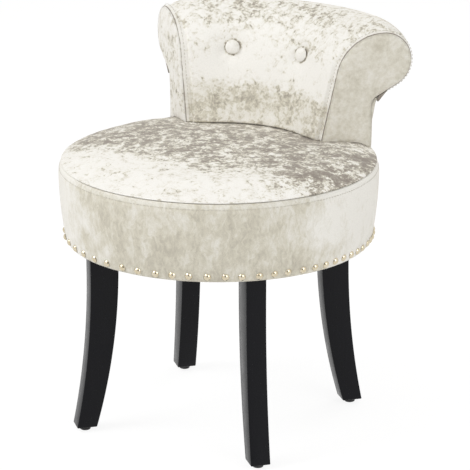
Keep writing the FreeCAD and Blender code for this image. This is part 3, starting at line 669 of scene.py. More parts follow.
def velvet_surface(sh, place, tone, relief, darkest, sheen):
    """Velvet of a tone and a relief, with its fine nap and its bloom."""
    nap = sh.noise(place, 900.0, 2.0, 0.6)
    tone = sh.mix(1.0, tone, sh.grey(sh.range(nap, 0.3, 0.7, darkest, 1.03)), "MULTIPLY")
    return sh.finish(Base_Color=tone, Roughness=0.92, Specular_IOR_Level=0.12, Sheen_Weight=sheen,
                     Sheen_Roughness=0.35, Sheen_Tint=(1.0, 0.965, 0.90),
                     Normal=sh.bump(nap, 0.25, 0.0004, relief))


def velvet(name, region, colours, tones=CRUSHED, streak=1.0):
    """Crushed velvet. At a place measured from the seat's axis on the floor, region(shader, place) gives how
    much darker the velvet is painted there, mostly painted shade, sheen and highlight laid out by region,
    and how strongly the crushing shows. A streak below 1 draws the pattern out upwards."""
    sh = Shader(name)
    place = sh.vector("SUBTRACT", sh.place, (0.0, bpy.context.scene.stool_seat.axis_y, 0.0))
    drift = sh.vector("SUBTRACT", sh.noise(place, 48.0, 3.0, 0.55, colour=True), (0.5, 0.5, 0.5))
    warped = sh.vector("ADD", place, sh.vector("SCALE", drift, scale=0.016))
    warped = sh.vector("MULTIPLY", warped, (1.0, 1.0, streak))
    patches = sh.noise(warped, 62.0, 7.0, 0.66)
    flecks = sh.noise(warped, 210.0, 4.0, 0.62, 0.6)
    bias, strength = region(sh, place)
    away = sh.plus(centred(sh, patches, 1.15), centred(sh, flecks, 0.95))
    away = sh.plus(sh.scaled(away, strength, bias), 0.5)
    relief = sh.bump(sh.plus(sh.times(patches, -0.6), sh.times(flecks, -0.4)), 0.5, 0.0016)
    return velvet_surface(sh, place, pattern(sh, away, tones, colours), relief, 0.94, 0.55)


def centred(sh, value, amount):
    """A noise value as a push of up to about half the amount either way."""
    return sh.times(sh.minus(value, 0.5), amount)


def push(sh, place, scale, amount, detail=3.0, roughness=0.5):
    """An uneven push of up to about half the amount either way."""
    return centred(sh, sh.noise(place, scale, detail, roughness), amount)


def seat_region(sh, place):
    """Darker and more contrasted over the rear of the cushion as painted shade, lighter towards the front as
    painted sheen.
    """
    uneven = sh.plus(push(sh, place, 11.0, 0.16, 2.0), push(sh, place, 60.0, 0.07))
    # rear: painted shade over the rear of the cushion, painted sheen towards the front
    rear = sh.range(sh.plus(sh.parts(place)[1], uneven), *SEAT_SHADE_TURN)
    patchy = push(sh, place, 17.0, 0.62, roughness=0.55)
    return sh.plus(sh.scaled(rear, 0.285, -0.185), sh.times(patchy, rear)), sh.scaled(rear, 0.42, 0.98)


def band_region(sh, place):
    """Softly beige in front, lighter towards both sides of the view as painted sheen, and lighter above the
    topstitching as a painted highlight.
    """
    seat, trim = bpy.context.scene.stool_seat, bpy.context.scene.stool_trim
    line = seat.seam_height - trim.topstitch_drop
    # hem: painted highlight, lighter above the topstitching
    hem = sh.range(sh.parts(place)[2], line, line + 0.0015, 0.0, -0.12)
    ahead = sh.vector("DOT_PRODUCT", place, BAND_FRONT)
    # side: painted sheen, lighter towards both sides of the view
    side = sh.range(sh.plus(ahead, push(sh, place, 18.0, 0.9)), *BAND_SHEEN_TURN, 1.0, 0.0)
    mottled = sh.plus(push(sh, place, 20.0, 0.50), 0.10)
    return sh.plus(hem, sh.scaled(side, -0.42, mottled)), 0.70


def back_region(sh, place):
    """Painted highlight across the middle, crushed along the ridge, painted shade greying the lower part
    near the seat and round the buttons, a painted shade line in each end seam and a painted highlight strip
    beside it.
    """
    back, trim = bpy.context.scene.stool_back, bpy.context.scene.stool_trim
    x, y, height = sh.parts(place)
    uneven = sh.plus(push(sh, place, 20.0, 0.05), push(sh, place, 130.0, 0.035))
    # lower: painted shade, greyer and less contrasted over the lower part of the face
    lower = sh.range(sh.plus(height, uneven), *LOWER_THIRD, 1.0, 0.0)
    ridge = sh.range(height, *RIDGE)
    middle = sh.math("ABSOLUTE", sh.minus(height, PAINTED_HIGHLIGHT_LINE))
    from_end = sh.minus(sh.times(y, math.sin(back.half_angle)),
                        sh.times(sh.math("ABSOLUTE", x), math.cos(back.half_angle)))
    # seam: painted shade, a dark line along each end seam
    seam = sh.range(from_end, back.panel + 0.0004, back.panel + 0.0018, 0.60, 0.0)
    # hem: painted highlight, a lighter strip between each end seam and its stitching
    hem = sh.range(from_end, trim.end_stitching - 0.0005, trim.end_stitching + 0.0010, -0.10, 0.0)
    patchy = push(sh, place, 19.0, 0.38, roughness=0.55)
    # light: painted highlight along the line across the middle of the face
    light = sh.range(middle, *PAINTED_HIGHLIGHT_REACH, -0.09, 0.0)
    bias = sh.plus(sh.times(lower, 0.175), sh.times(ridge, 0.12), patchy, -0.185, light, seam, hem)
    axis = Vector((0.0, bpy.context.scene.stool_seat.axis_y, 0.0))
    # Painted shade round each button
    for side in SIDES:
        away = sh.vector("DISTANCE", place, tuple(button_place(side) - axis))
        bias = sh.plus(bias, sh.range(away, *BUTTON_SHADE, 0.30, 0.0))
    return bias, sh.scaled(lower, -0.62, 1.05)


def panel_region(sh, place):
    """The back's left end, light with a few crushed marks."""
    return sh.plus(push(sh, place, 20.0, 0.40), -0.12), 0.9


def button_region(sh, place):
    """Lighter velvet over the buttons, with slight unevenness."""
    return sh.scaled(sh.noise(place, 120.0), 0.2, -0.30), 0.6


def plain_velvet(name, colours):
    """Velvet brushed one way: an even beige with a soft bloom."""
    sh = Shader(name)
    fine = sh.noise(sh.place, 150.0, 5.0, 0.6)
    away = sh.plus(push(sh, sh.place, 22.0, 1.5, 4.0, 0.55), centred(sh, fine, 1.3), 0.5)
    relief = sh.bump(fine, 0.3, 0.001)
    return velvet_surface(sh, sh.place, pattern(sh, away, EVEN, colours), relief, 0.95, 0.5)


def lacquer(name, colours):
    """Satin black lacquer over wood whose grain just shows."""
    sh = Shader(name)
    grain = sh.noise(sh.vector("MULTIPLY", sh.place, (1.0, 1.0, 0.06)), 420.0, 4.0, 0.6, 0.8)
    film = sh.noise(sh.place, 60.0, 3.0)
    rough = sh.range(sh.scaled(grain, 0.4, sh.times(film, 0.6)), 0.3, 0.7, 0.24, 0.32)
    black = colours.leg_black
    tone = sh.mix(sh.range(grain, 0.35, 0.75, 0.0, 0.5), black, mixed(black, WHITE, 0.003))
    relief = sh.scaled(grain, 0.5, sh.noise(sh.place, 700.0))
    return sh.finish(Base_Color=tone, Roughness=rough, IOR=1.28, Normal=sh.bump(relief, 0.04, 0.0003))


def polished_brass(name, colours):
    sh = Shader(name)
    worn = sh.noise(sh.place, 300.0, 3.0)
    tone = sh.mix(sh.range(worn, 0.35, 0.7), colours.brass, mixed(colours.brass, WHITE, 0.18))
    return sh.finish(Base_Color=tone, Metallic=1.0, Roughness=sh.range(worn, 0.3, 0.7, 0.07, 0.13))


def plain(name, tone, roughness, scale, depth, spread=0.12, specular=0.4, metallic=0.0):
    """A moulded, woven or cut surface with a fine grain and slight changes of tone."""
    sh = Shader(name)
    grain = sh.noise(sh.place, scale, 4.0, 0.6)
    shade = sh.mix(sh.range(sh.noise(sh.place, scale / 12), 0.3, 0.7), mixed(tone, BLACK, spread),
                   mixed(tone, WHITE, spread * 0.4))
    rough = sh.range(grain, 0.3, 0.7, roughness - 0.05, roughness + 0.05)
    return sh.finish(Base_Color=shade, Roughness=rough, Specular_IOR_Level=specular,
                     Metallic=metallic, Normal=sh.bump(grain, 0.3, depth))


def wood(name, tone, plies):
    """Bare wood: long grain, or the bands of plywood's plies across its thickness."""
    sh = Shader(name)
    grain = sh.noise(sh.vector("MULTIPLY", sh.place, (30.0, 260.0, 260.0)), 1.0, 5.0, 0.6, 0.7)
    shade = sh.mix(sh.range(grain, 0.3, 0.72), mixed(tone, BLACK, 0.25), mixed(tone, WHITE, 0.10))
    if plies:
        ply_thickness = 0.0015
        ply = sh.math("PINGPONG", sh.times(sh.parts(sh.place)[2], 1.0 / ply_thickness), 1.0)
        shade = sh.mix(sh.range(ply, 0.35, 0.65, 0.0, 0.22), shade, mixed(tone, BLACK, 0.45))
    return sh.finish(Base_Color=shade, Roughness=0.62, Specular_IOR_Level=0.3,
                     Normal=sh.bump(grain, 0.25, 0.0004))


def finish(name):
    """The stool's material of this name, made once."""
    colours = bpy.context.scene.stool_finishes
    makers = {
        "velvet_seat": lambda n: velvet(n, seat_region, colours),
        "velvet_band": lambda n: velvet(n, band_region, colours, BRUSHED, 0.45),
        "velvet_back": lambda n: velvet(n, back_region, colours),
        "velvet_panel": lambda n: velvet(n, panel_region, colours),
        "velvet_button": lambda n: velvet(n, button_region, colours),
        "velvet": lambda n: plain_velvet(n, colours),
        "black_wood": lambda n: lacquer(n, colours),
        "nail_brass": lambda n: polished_brass(n, colours),
        "thread": lambda n: plain(n, colours.thread, 0.8, 1500.0, 0.0002),
        "dust_cloth": lambda n: plain(n, colours.cloth_black, 0.9, 900.0, 0.0004, 0.3, 0.2),
        "glide_plastic": lambda n: plain(n, colours.plastic, 0.55, 700.0, 0.0002),
        "plywood": lambda n: wood(n, colours.plywood, True),
        "beech": lambda n: wood(n, colours.beech, False),
        "hardboard": lambda n: plain(n, colours.hardboard, 0.75, 800.0, 0.0002),
        "steel": lambda n: plain(n, colours.steel, 0.32, 500.0, 0.0001, 0.08, 0.5, 1.0),
        "toggle_plastic": lambda n: plain(n, colours.toggle, 0.45, 600.0, 0.0001, 0.05),
        "foam": lambda n: plain(n, colours.foam, 0.9, 350.0, 0.0005, 0.15, 0.2),
    }
    if name not in made_materials:
        made_materials[name] = makers[name](name)
    return made_materials[name]


# Operators, one for each piece or group of like pieces
class StoolOperator:
    bl_options = {"REGISTER", "UNDO"}

    def execute(self, context):
        scene = context.scene
        self.seat, self.back = scene.stool_seat, scene.stool_back
        self.trim, self.legs = scene.stool_trim, scene.stool_legs
        self.move = Vector((0.0, self.seat.axis_y, 0.0))
        self.build()
        return {"FINISHED"}


class STOOL_OT_seat_cushion(StoolOperator, Operator):
    """Make the crowned velvet cushion on top of the drum"""
    bl_idname = "stool.seat_cushion"
    bl_label = "Seat cushion"

    def build(self):
        seat = self.seat
        cells, smoothings = 60, 8
        flat = 0.150                # the middle is a grid out to this radius, and rings from there
        bm = bmesh.new()
        bmesh.ops.create_grid(bm, x_segments=cells, y_segments=cells, size=1.0)
        for v in bm.verts:
            v.co = self.on_disc(v.co.x, v.co.y, flat)
        inside = [v for v in bm.verts if not v.is_boundary]
        for _ in range(smoothings):
            bmesh.ops.smooth_vert(bm, verts=inside, factor=0.5, use_axis_x=True, use_axis_y=True)
        seam = (seat.seam_radius - seat.groove, seat.seam_height + SEAM_GAP)
        rings = [(r, crown_at(seat, r)) for r in self.ring_radii(flat)]
        rings += self.rolled_edge(seam)
        inner = seat.frame_radius
        rings += [(inner, seam[1]), (inner, seat.deck_height + REST_GAP)]
        edges = [e for e in bm.edges if e.is_boundary]
        for r, z in rings:
            new = bmesh.ops.extrude_edge_only(bm, edges=edges)["geom"]
            edges = [e for e in new if isinstance(e, bmesh.types.BMEdge) and e.is_boundary]
            for v in {v for e in edges for v in e.verts}:
                v.co = Vector((v.co.x, v.co.y, 0.0)).normalized() * r + Vector((0.0, 0.0, z))
        for v in bm.verts:
            if v.co.z == 0.0:
                v.co.z = crown_at(seat, v.co.xy.length)
        bmesh.ops.holes_fill(bm, edges=edges)
        outward(bm)
        held = {v for v in bm.verts if v.co.z < seat.seam_height + 0.003 or self.below_back(v.co)}
        puffed(bm, held, 3.0, 0.003)
        self.pucker(bm)
        subdivided(piece(bm, "seat_cushion", "velvet_seat", ["seat_top_cover", "seat_foam"],
                         self.move))

    def on_disc(self, x, y, reach):
        """A point of a square, laid on a disc so that rings of the square become circles."""
        size = max(abs(x), abs(y))
        if size == 0.0:
            return Vector((0.0, 0.0, 0.0))
        angle = math.pi / 4 * (y / x) if abs(x) >= abs(y) else math.pi / 2 - math.pi / 4 * (x / y)
        sign = 1.0 if (x if abs(x) >= abs(y) else y) > 0 else -1.0
        return Vector((math.cos(angle), math.sin(angle), 0.0)) * size * reach * sign

    def ring_radii(self, flat):
        last = self.seat.seam_radius - self.seat.groove
        count = 15
        return [flat + (last - flat) * i / count for i in range(1, count)]

    def rolled_edge(self, seam):
        """The cushion's edge, rolled in to the seam."""
        roll = self.seat.groove
        outer = self.seat.seam_radius
        return [(outer - 0.35 * roll, seam[1] + 2.4 * roll), (outer - 0.1 * roll, seam[1] + 1.2 * roll),
                (outer - 0.4 * roll, seam[1] + 0.35 * roll), (outer - 1.4 * roll, seam[1])]

    def below_back(self, point):
        """Whether a point lies below the back, where the cushion is pressed."""
        bearing = math.atan2(point.x, point.y)
        return abs(bearing) < self.back.half_angle and point.xy.length > self.back.foot_radius - 0.004

    def pucker(self, bm):
        """Slight gathers of the velvet along the seam."""
        inside, reach, size = 0.008, 0.007, 0.0007
        for v in bm.verts:
            near = math.exp(-((self.seat.seam_radius - inside - v.co.xy.length) / reach) ** 2)
            if v.co.z > self.seat.seam_height + 0.002:
                angle = math.atan2(v.co.x, v.co.y)
                wave = noise.noise(Vector((math.cos(angle), math.sin(angle), 0.0)) * 22.0)
                v.co += v.normal * near * wave * size


class STOOL_OT_seat_band(StoolOperator, Operator):
    """Make the velvet side of the drum, turned in below the seat"""
    bl_idname = "stool.seat_band"
    bl_label = "Seat side"

    def build(self):
        seat = self.seat
        upper, lower = side_curves(seat)
        roll = seat.groove
        top = seat.seam_height - SEAM_GAP
        inner = seat.frame_radius + REST_GAP
        edge = [(inner, top - 2 * SEAM_GAP), (seat.seam_radius - 1.6 * roll, top - SEAM_GAP),
                (seat.seam_radius - 0.45 * roll, top - 0.35 * roll),
                (seat.seam_radius + 0.05 * roll, top - 1.2 * roll)]
        hem = seat.foot_radius - seat.turned_in
        foot, base, fold = seat.foot_radius, seat.foot_height, 0.0013
        below = [(foot + 0.0001, base + 0.0012), (foot - 0.0012, base + 0.0002), (foot - 0.005, base),
                 (hem, base), (hem, base + fold), (inner, base + fold)]
        bm = turned_solid(edge + upper[2:] + lower[1:-1] + below, 256, closed=True)
        least = base + self.trim.nail_rise + 0.004
        most = seat.seam_height - self.trim.topstitch_drop - 0.002
        held = {v for v in bm.verts if v.co.xy.length < foot - 0.001 or not least <= v.co.z <= most}
        puffed(bm, held, 2.0, 0.0018)
        self.gather(bm)
        subdivided(piece(bm, "seat_band", "velvet_band", ["seat_side_cover", "seat_side_padding"],
                         self.move))

    def gather(self, bm):
        """The line where the topstitching pulls the velvet in, and slight pulls at the nails."""
        seat, trim = self.seat, self.trim
        line = seat.seam_height - trim.topstitch_drop
        nails = seat.foot_height + trim.nail_rise
        sewn_in, nailed_in = 0.0007, 0.0004
        for v in bm.verts:
            if v.co.xy.length < seat.foot_radius - 0.003:
                continue
            angle = math.atan2(v.co.x, v.co.y)
            wave = noise.noise(Vector((math.cos(angle), math.sin(angle), 0.1)) * 30.0)
            pull = -sewn_in * math.exp(-((v.co.z - line) / 0.0022) ** 2)
            pull += nailed_in * wave * math.exp(-((v.co.z - nails) / 0.016) ** 2)
            v.co += Vector((v.co.x, v.co.y, 0.0)).normalized() * pull


class STOOL_OT_topstitching(StoolOperator, Operator):
    """Sew the topstitching round the drum below its seam"""
    bl_idname = "stool.topstitching"
    bl_label = "Topstitching"

    def build(self):
        trim = self.trim
        height = self.seat.seam_height - trim.topstitch_drop
        radius = side_place(self.seat, height)[0] - 0.0006 + 0.4 * trim.thread_radius
        count = round(math.tau * radius / (trim.stitch_length + trim.stitch_gap))
        start = Matrix.Translation((0.0, radius, height))
        turns = [Matrix.Rotation(math.tau * i / count, 4, "Z") for i in range(count)]
        bm = repeated(stitch(trim), [turned @ start for turned in turns])
        piece(bm, "seat_stitches", "thread", ["seat_topstitch"], self.move)


class STOOL_OT_nails(StoolOperator, Operator):
    """Drive the domed nails round the drum's bottom edge"""
    bl_idname = "stool.nails"
    bl_label = "Nailhead trim"

    def build(self):
        trim = self.trim
        middle = self.seat.foot_height + trim.nail_rise
        radius, tilt = side_place(self.seat, middle)
        rim, sunk = 0.0004, 0.0003
        dome = tangent_arc((0.0, trim.nail_dome), (1, 0), (trim.nail_radius, rim), 7)
        outline = dome + [(trim.nail_radius - 0.0002, 0.0), (trim.nail_radius - 0.0012, -sunk)]
        head = turned_solid([(0.0, -sunk)] + outline[::-1], 28)
        shape = as_mesh(head, "nail")
        hand = random.Random(7)
        places = []
        for i in range(trim.nail_count):
            bearing = self.bearing(i) + math.radians(hand.uniform(-0.45, 0.45))
            height = middle + hand.uniform(-0.0006, 0.0006)
            lean = Matrix.Rotation(math.pi / 2 + tilt + hand.uniform(-0.06, 0.06), 4, "Y")
            roll = Matrix.Rotation(hand.uniform(-0.05, 0.05), 4, "X")
            out = Matrix.Translation((radius + REST_GAP, 0.0, height))
            places.append(Matrix.Rotation(math.pi / 2 - bearing, 4, "Z") @ out @ lean @ roll)
        bm = repeated(shape, places)
        piece(bm, "nailheads", "nail_brass", ["nailhead_trim"], self.move,
              smooth=math.radians(50))

    def bearing(self, i):
        """Nails driven by hand: closer together on the right side than on the left."""
        crowding, closest = 0.24, math.radians(157.0)
        even = math.tau * i / self.trim.nail_count
        return even - crowding * math.cos(even - closest)


class STOOL_OT_back_cushion(StoolOperator, Operator):
    """Make the back's padded inside face and roll, with its two buttoned hollows"""
    bl_idname = "stool.back_cushion"
    bl_label = "Back cushion"

    def build(self):
        back = self.back
        first = self.loop(back.half_angle, 0.0)
        bm, order = swept(first, back.half_angle)
        step = 2 * back.half_angle / BACK_ROWS
        sections = {}
        for v in bm.verts:
            row = round((back.half_angle - math.atan2(v.co.x, v.co.y)) / step)
            if row not in sections:
                sections[row] = self.section(row)
            v.co = sections[row](v[order])
        half = len(first) // 2
        for row in (0, BACK_ROWS):
            at_row = [e for e in bm.edges if e.is_boundary and self.row_of(e) == row
                      and abs(e.verts[0][order] - e.verts[1][order]) == 1
                      and {e.verts[0][order], e.verts[1][order]} != {half - 1, half}]
            bmesh.ops.bridge_loops(bm, edges=at_row)
        outward(bm)
        bm.normal_update()
        self.places = [button_place(side) - self.move for side in SIDES]
        self.tuft(bm, order, half)
        held = {v for v in bm.verts if v[order] >= half or v[order] < 3 or v[order] > half - 6
                or self.from_end(v.co) < 0.010 or self.from_button(v.co) < self.trim.button_radius + 0.003}
        puffed(bm, held, 3.0, 0.0035)
        bm.normal_update()
        self.pulls(bm, order, half)
        subdivided(piece(bm, "back_cushion", "velvet_back",
                         ["back_inner_cover", "back_foam", "back_roll_foam"], self.move))

    def loop(self, bearing, inset):
        """The closed section of the cushion: the velvet's face, and back along the padding's inside."""
        draw = draw_at(self.back, bearing)
        outer = padded_face(self.seat, self.back, draw, inset)
        inner = padded_face(self.seat, self.back, 0.0, 0.0, self.back.front_padding, 0.003)
        return outer + inner[::-1]

    def section(self, row):
        """Where each vertex of a row lies."""
        back = self.back
        near = min(row, BACK_ROWS - row)
        close = (0.0, 0.0006, 0.0014, 0.0030, 0.0065, 0.0105)       # of the rows next to the end
        side = 1 if row < BACK_ROWS / 2 else -1
        if near < len(close):
            away = back.panel + SEAM_GAP + close[near]
            roll = self.seat.groove
            cut = max(roll - close[near], 0.0)
            inset = roll - math.sqrt(roll ** 2 - cut ** 2)
            points = self.loop(back.half_angle, inset)
            return lambda index: self.near_end(points[index], away, side)
        least_radius, room = 0.19, 0.02
        start = back.half_angle - close[-1] / least_radius - room
        bearing = side * start * (1 - (near - len(close)) / (BACK_ROWS / 2 - len(close)))
        points = self.loop(bearing, 0.0)
        return lambda index: placed(*points[index], bearing)

    def near_end(self, point, away, side):
        """A point at a distance inside the end plane."""
        return placed(*point, side * (self.back.half_angle - math.asin(away / point[0])))

    def row_of(self, edge):
        return 0 if all(v.co.x > 0 for v in edge.verts) else BACK_ROWS

    def from_end(self, point):
        """Distance inside the nearer end plane."""
        bearing = abs(math.atan2(point.x, point.y))
        return point.xy.length * math.sin(self.back.half_angle - bearing)

    def from_button(self, point):
        return min((point - place).length for place in self.places)

    def tuft(self, bm, order, half):
        """The hollows that the buttons pull into the face."""
        trim = self.trim
        for v in bm.verts:
            if v[order] < half:
                for place in self.places:
                    out = max((v.co - place).length - trim.button_radius, 0.0)
                    depth = trim.tuft_depth * math.exp(-(out / trim.tuft_width) ** 1.5)
                    v.co -= v.normal * depth

    def pulls(self, bm, order, half):
        """Short folds that run out from under the buttons."""
        trim = self.trim
        reach, farthest, size = 0.009, 0.03, 0.0024
        for number, place in enumerate(self.places):
            facing = placed(-0.96, 0.28, math.atan2(place.x, place.y))      # out of the back, leaning up
            across = facing.cross(Vector((0.0, 0.0, 1.0))).normalized()
            up = across.cross(facing).normalized()
            for v in bm.verts:
                offset = v.co - place
                out = offset.length - trim.button_radius
                if v[order] < half and out < farthest:
                    angle = math.atan2(offset.dot(up), offset.dot(across))
                    turn = Vector((math.cos(angle), math.sin(angle), number)) * 2.1
                    fold = noise.noise(turn) + 0.6 * noise.noise(turn * 2.3)
                    v.co += v.normal * size * fold * math.exp(-(max(out, 0.0) / reach) ** 2)


class STOOL_OT_back_stitching(StoolOperator, Operator):
    """Sew the stitching beside the seams at the back's two ends"""
    bl_idname = "stool.back_stitching"
    bl_label = "Back's stitching"

    def build(self):
        trim = self.trim
        pitch = trim.stitch_length + trim.stitch_gap
        places = []
        for side in SIDES.values():
            path = self.path(side)
            gone = pitch / 2
            for a, b in zip(path, path[1:]):
                run = b - a
                while gone < run.length:
                    turn = run.to_track_quat("X", "Z").to_matrix().to_4x4()
                    places.append(Matrix.Translation(a + run.normalized() * gone) @ turn)
                    gone += pitch
                gone -= run.length
        piece(repeated(stitch(trim), places), "back_stitches", "thread", [], self.move)

    def path(self, side):
        """The line of stitches up the inside face and over the roll, at one end."""
        back = self.back
        middle = back.half_angle - self.trim.end_stitching / back.wall_radius
        face = padded_face(self.seat, back, draw_at(back, middle), -0.2 * self.trim.thread_radius)
        inside = self.trim.end_stitching
        return [placed(r, z, side * (back.half_angle - math.asin(inside / r))) for r, z in face[1:]]


class STOOL_OT_back_ends(StoolOperator, Operator):
    """Make the padded velvet panels that close the back's two ends"""
    bl_idname = "stool.back_ends"
    bl_label = "Back's end panels"

    def build(self):
        for name, side in SIDES.items():
            self.panel(name, side)

    def outline(self, inset):
        seat, back = self.seat, self.back
        face = padded_face(seat, back, 1.0, inset)
        lower = neck(back, 1.0)[1]
        centre = (back.wall_radius + back.neck_radius, lower[1])
        radius = back.neck_radius + inset
        hollow = arc(centre, radius, math.pi - (math.pi / 2 - back.under_slope), math.pi, 6)
        wall = back.wall_radius - inset
        heel = (wall, crown_at(seat, wall) + REST_GAP)
        wall_run = between((wall, lower[1]), heel, 14)[1:]
        radii = [wall + (face[0][0] - wall) * i / 20 for i in range(1, 20)]
        sole = [(r, crown_at(seat, r) + REST_GAP) for r in radii]
        return face[:-1] + hollow + wall_run + sole

    def panel(self, name, side):
        """The flat outline, cut into a grid, thickened and crowned, then stood at its end of the back."""
        back, roll = self.back, self.seat.groove
        rim = self.outline(1.15 * roll)
        bm = bmesh.new()
        wire(bm, rim, closed=True)
        bmesh.ops.contextual_create(bm, geom=bm.edges[:])
        cell, crown_height, settled = 0.005, 0.0016, 0.6
        for axis, along in zip((Vector((1, 0, 0)), Vector((0, 0, 1))), zip(*rim)):
            least, most = min(along), max(along)
            count = math.ceil((most - least) / cell - 0.5)
            cut_across(bm, axis, [least + cell * (i + 0.5) for i in range(count)], 0.0004)
        front = bm.verts[:]
        near = [self.to_rim(v.co, rim) for v in front]
        rear = extruded(bm)
        for v, gap in zip(front, near):
            rounding = max(roll - gap, 0.0)
            edge = roll - math.sqrt(max(roll ** 2 - rounding ** 2, 0.0))
            v.co.y = edge - crown_height * (1.0 - math.exp(-gap / 0.012)) + crown_height * settled
        for v in rear:
            v.co.y = back.panel
        for v in bm.verts:
            v.co.y *= side
        turn_about_axis(bm, math.pi / 2 - side * back.half_angle)
        outward(bm)
        look = "velvet" if name == "right" else "velvet_panel"
        piece(bm, "back_end_" + name, look, ["back_end_cover_" + name, "back_end_pad_" + name],
              self.move)

    def to_rim(self, point, rim):
        """Distance from a point of the panel to its rim."""
        here = (point.x, point.z)
        best = 1.0
        for a, b in zip(rim, rim[1:] + rim[:1]):
            run = (b[0] - a[0], b[1] - a[1])
            share = ((here[0] - a[0]) * run[0] + (here[1] - a[1]) * run[1]) / (run[0] ** 2 + run[1] ** 2)
            share = min(max(share, 0.0), 1.0)
            best = min(best, math.dist(here, (a[0] + run[0] * share, a[1] + run[1] * share)))
        return best


class STOOL_OT_back_outside(StoolOperator, Operator):
    """Cover the back's outside face from the neck down to the seat"""
    bl_idname = "stool.back_outside"
    bl_label = "Back's outside cover"

    def build(self):
        back = self.back
        bm, order = swept(self.loop(back.half_angle),
                          back.half_angle - (back.panel + 2 * SEAM_GAP) / back.wall_radius)
        for v in bm.verts:
            bearing = math.atan2(v.co.x, v.co.y)
            v.co = placed(*self.loop(bearing)[v[order]], bearing)
        bmesh.ops.holes_fill(bm, edges=[e for e in bm.edges if e.is_boundary])
        outward(bm)
        subdivided(piece(bm, "back_outside", "velvet", ["back_outer_cover"], self.move))

    def loop(self, bearing):
        seat, back = self.seat, self.back
        lower = neck(back, draw_at(back, bearing))[1]
        centre = (back.wall_radius + back.neck_radius, lower[1])
        start = math.pi / 2 + back.under_slope
        heel = (back.wall_radius, crown_at(seat, back.wall_radius) + REST_GAP)
        outer = arc(centre, back.neck_radius, start, math.pi, 6) + between(lower, heel, 14)[1:]
        inner = arc(centre, back.neck_radius + BACK_COVER, start, math.pi, 6)
        inner += between(inner[-1], (heel[0] - BACK_COVER, heel[1]), 14)[1:]
        return outer + inner[::-1]


class STOOL_OT_buttons(StoolOperator, Operator):
    """Make the two velvet-covered buttons of the back"""
    bl_idname = "stool.buttons"
    bl_label = "Buttons"

    def build(self):
        trim = self.trim
        half, edge, gathers, gather, lean = trim.button_height / 2, 0.0022, 13, 0.022, math.radians(17.0)
        for side in SIDES:
            middle = button_place(side)
            bearing = math.atan2(middle.x, middle.y - self.seat.axis_y)
            dome = tangent_arc((0.0, half), (1, 0), (trim.button_radius, edge - half), 9)
            bm = turned_solid([(0.0, -half), (trim.button_radius - edge, -half)] + dome[::-1], 40)
            for v in bm.verts:
                angle_here = math.atan2(v.co.y, v.co.x)
                rim = min(v.co.xy.length / trim.button_radius, 1.0) ** 6
                wave = 0.5 + 0.5 * math.cos(gathers * angle_here + 1.7 * math.sin(3 * angle_here))
                v.co.xy *= 1.0 - gather * rim * wave
            facing = placed(-math.cos(lean), math.sin(lean), bearing)
            turn(bm, facing.to_track_quat("Z", "Y").to_matrix())
            subdivided(piece(bm, "button_" + side, "velvet_button", ["back_button_" + side],
                             middle))


class STOOL_OT_legs(StoolOperator, Operator):
    """Make the four flared legs in satin black"""
    bl_idname = "stool.legs"
    bl_label = "Legs"

    def build(self):
        legs = self.legs
        for place, bearing in LEG_BEARINGS.items():
            bm = bmesh.new()
            wire(bm, self.outline(), closed=True)
            bmesh.ops.contextual_create(bm, geom=bm.edges[:])
            shifted(bm, bm.verts[:], (0, -legs.thickness / 2, 0))
            shifted(bm, extruded(bm), (0, legs.thickness, 0))
            outward(bm)
            sharp = [e for e in bm.edges if e.calc_face_angle(0.0) > math.radians(30)]
            bmesh.ops.bevel(bm, geom=sharp, offset=legs.edge_radius, offset_type="OFFSET", affect="EDGES",
                            segments=3, profile=0.5, material=-1, clamp_overlap=True)
            turn_about_axis(bm, math.radians(90.0 - bearing))
            piece(bm, "stool_leg_" + place, "black_wood", ["leg_" + place], self.move,
                  smooth=math.radians(40))

    def outline(self):
        legs = self.legs
        top, foot = legs.top_height, legs.glide_height
        inner = legs.outer_radius - legs.depth
        outer_run = tangent_arc((legs.outer_radius, top - legs.straight_outer), (0, -1),
                                (legs.outer_radius + legs.flare_outer, foot), 22)
        inner_run = tangent_arc((inner, top - legs.straight_inner), (0, -1),
                                (inner + legs.flare_inner, foot), 22)
        return [(inner, top), (legs.outer_radius, top)] + outer_run + inner_run[::-1]


class STOOL_OT_glides(StoolOperator, Operator):
    """Make the round glides below the legs"""
    bl_idname = "stool.glides"
    bl_label = "Glides"

    def build(self):
        legs = self.legs
        for place in LEG_BEARINGS:
            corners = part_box("glide_" + place)
            middle = (corners[0] + corners[1]) / 2
            edge = 0.0016
            r, h = legs.glide_radius, legs.glide_height
            outline = [(0.0, 0.0)] + arc((r - edge, edge), edge, -math.pi / 2, 0.0, 4)
            outline += [(r, h * 0.72), (r * 0.94, h * 0.80), (r * 0.94, h - 0.0001), (0.0, h - 0.0001)]
            bm = turned_solid(outline, 40)
            piece(bm, "stool_glide_" + place, "glide_plastic", ["glide_" + place],
                  (middle.x, middle.y, 0.0), smooth=math.radians(40))


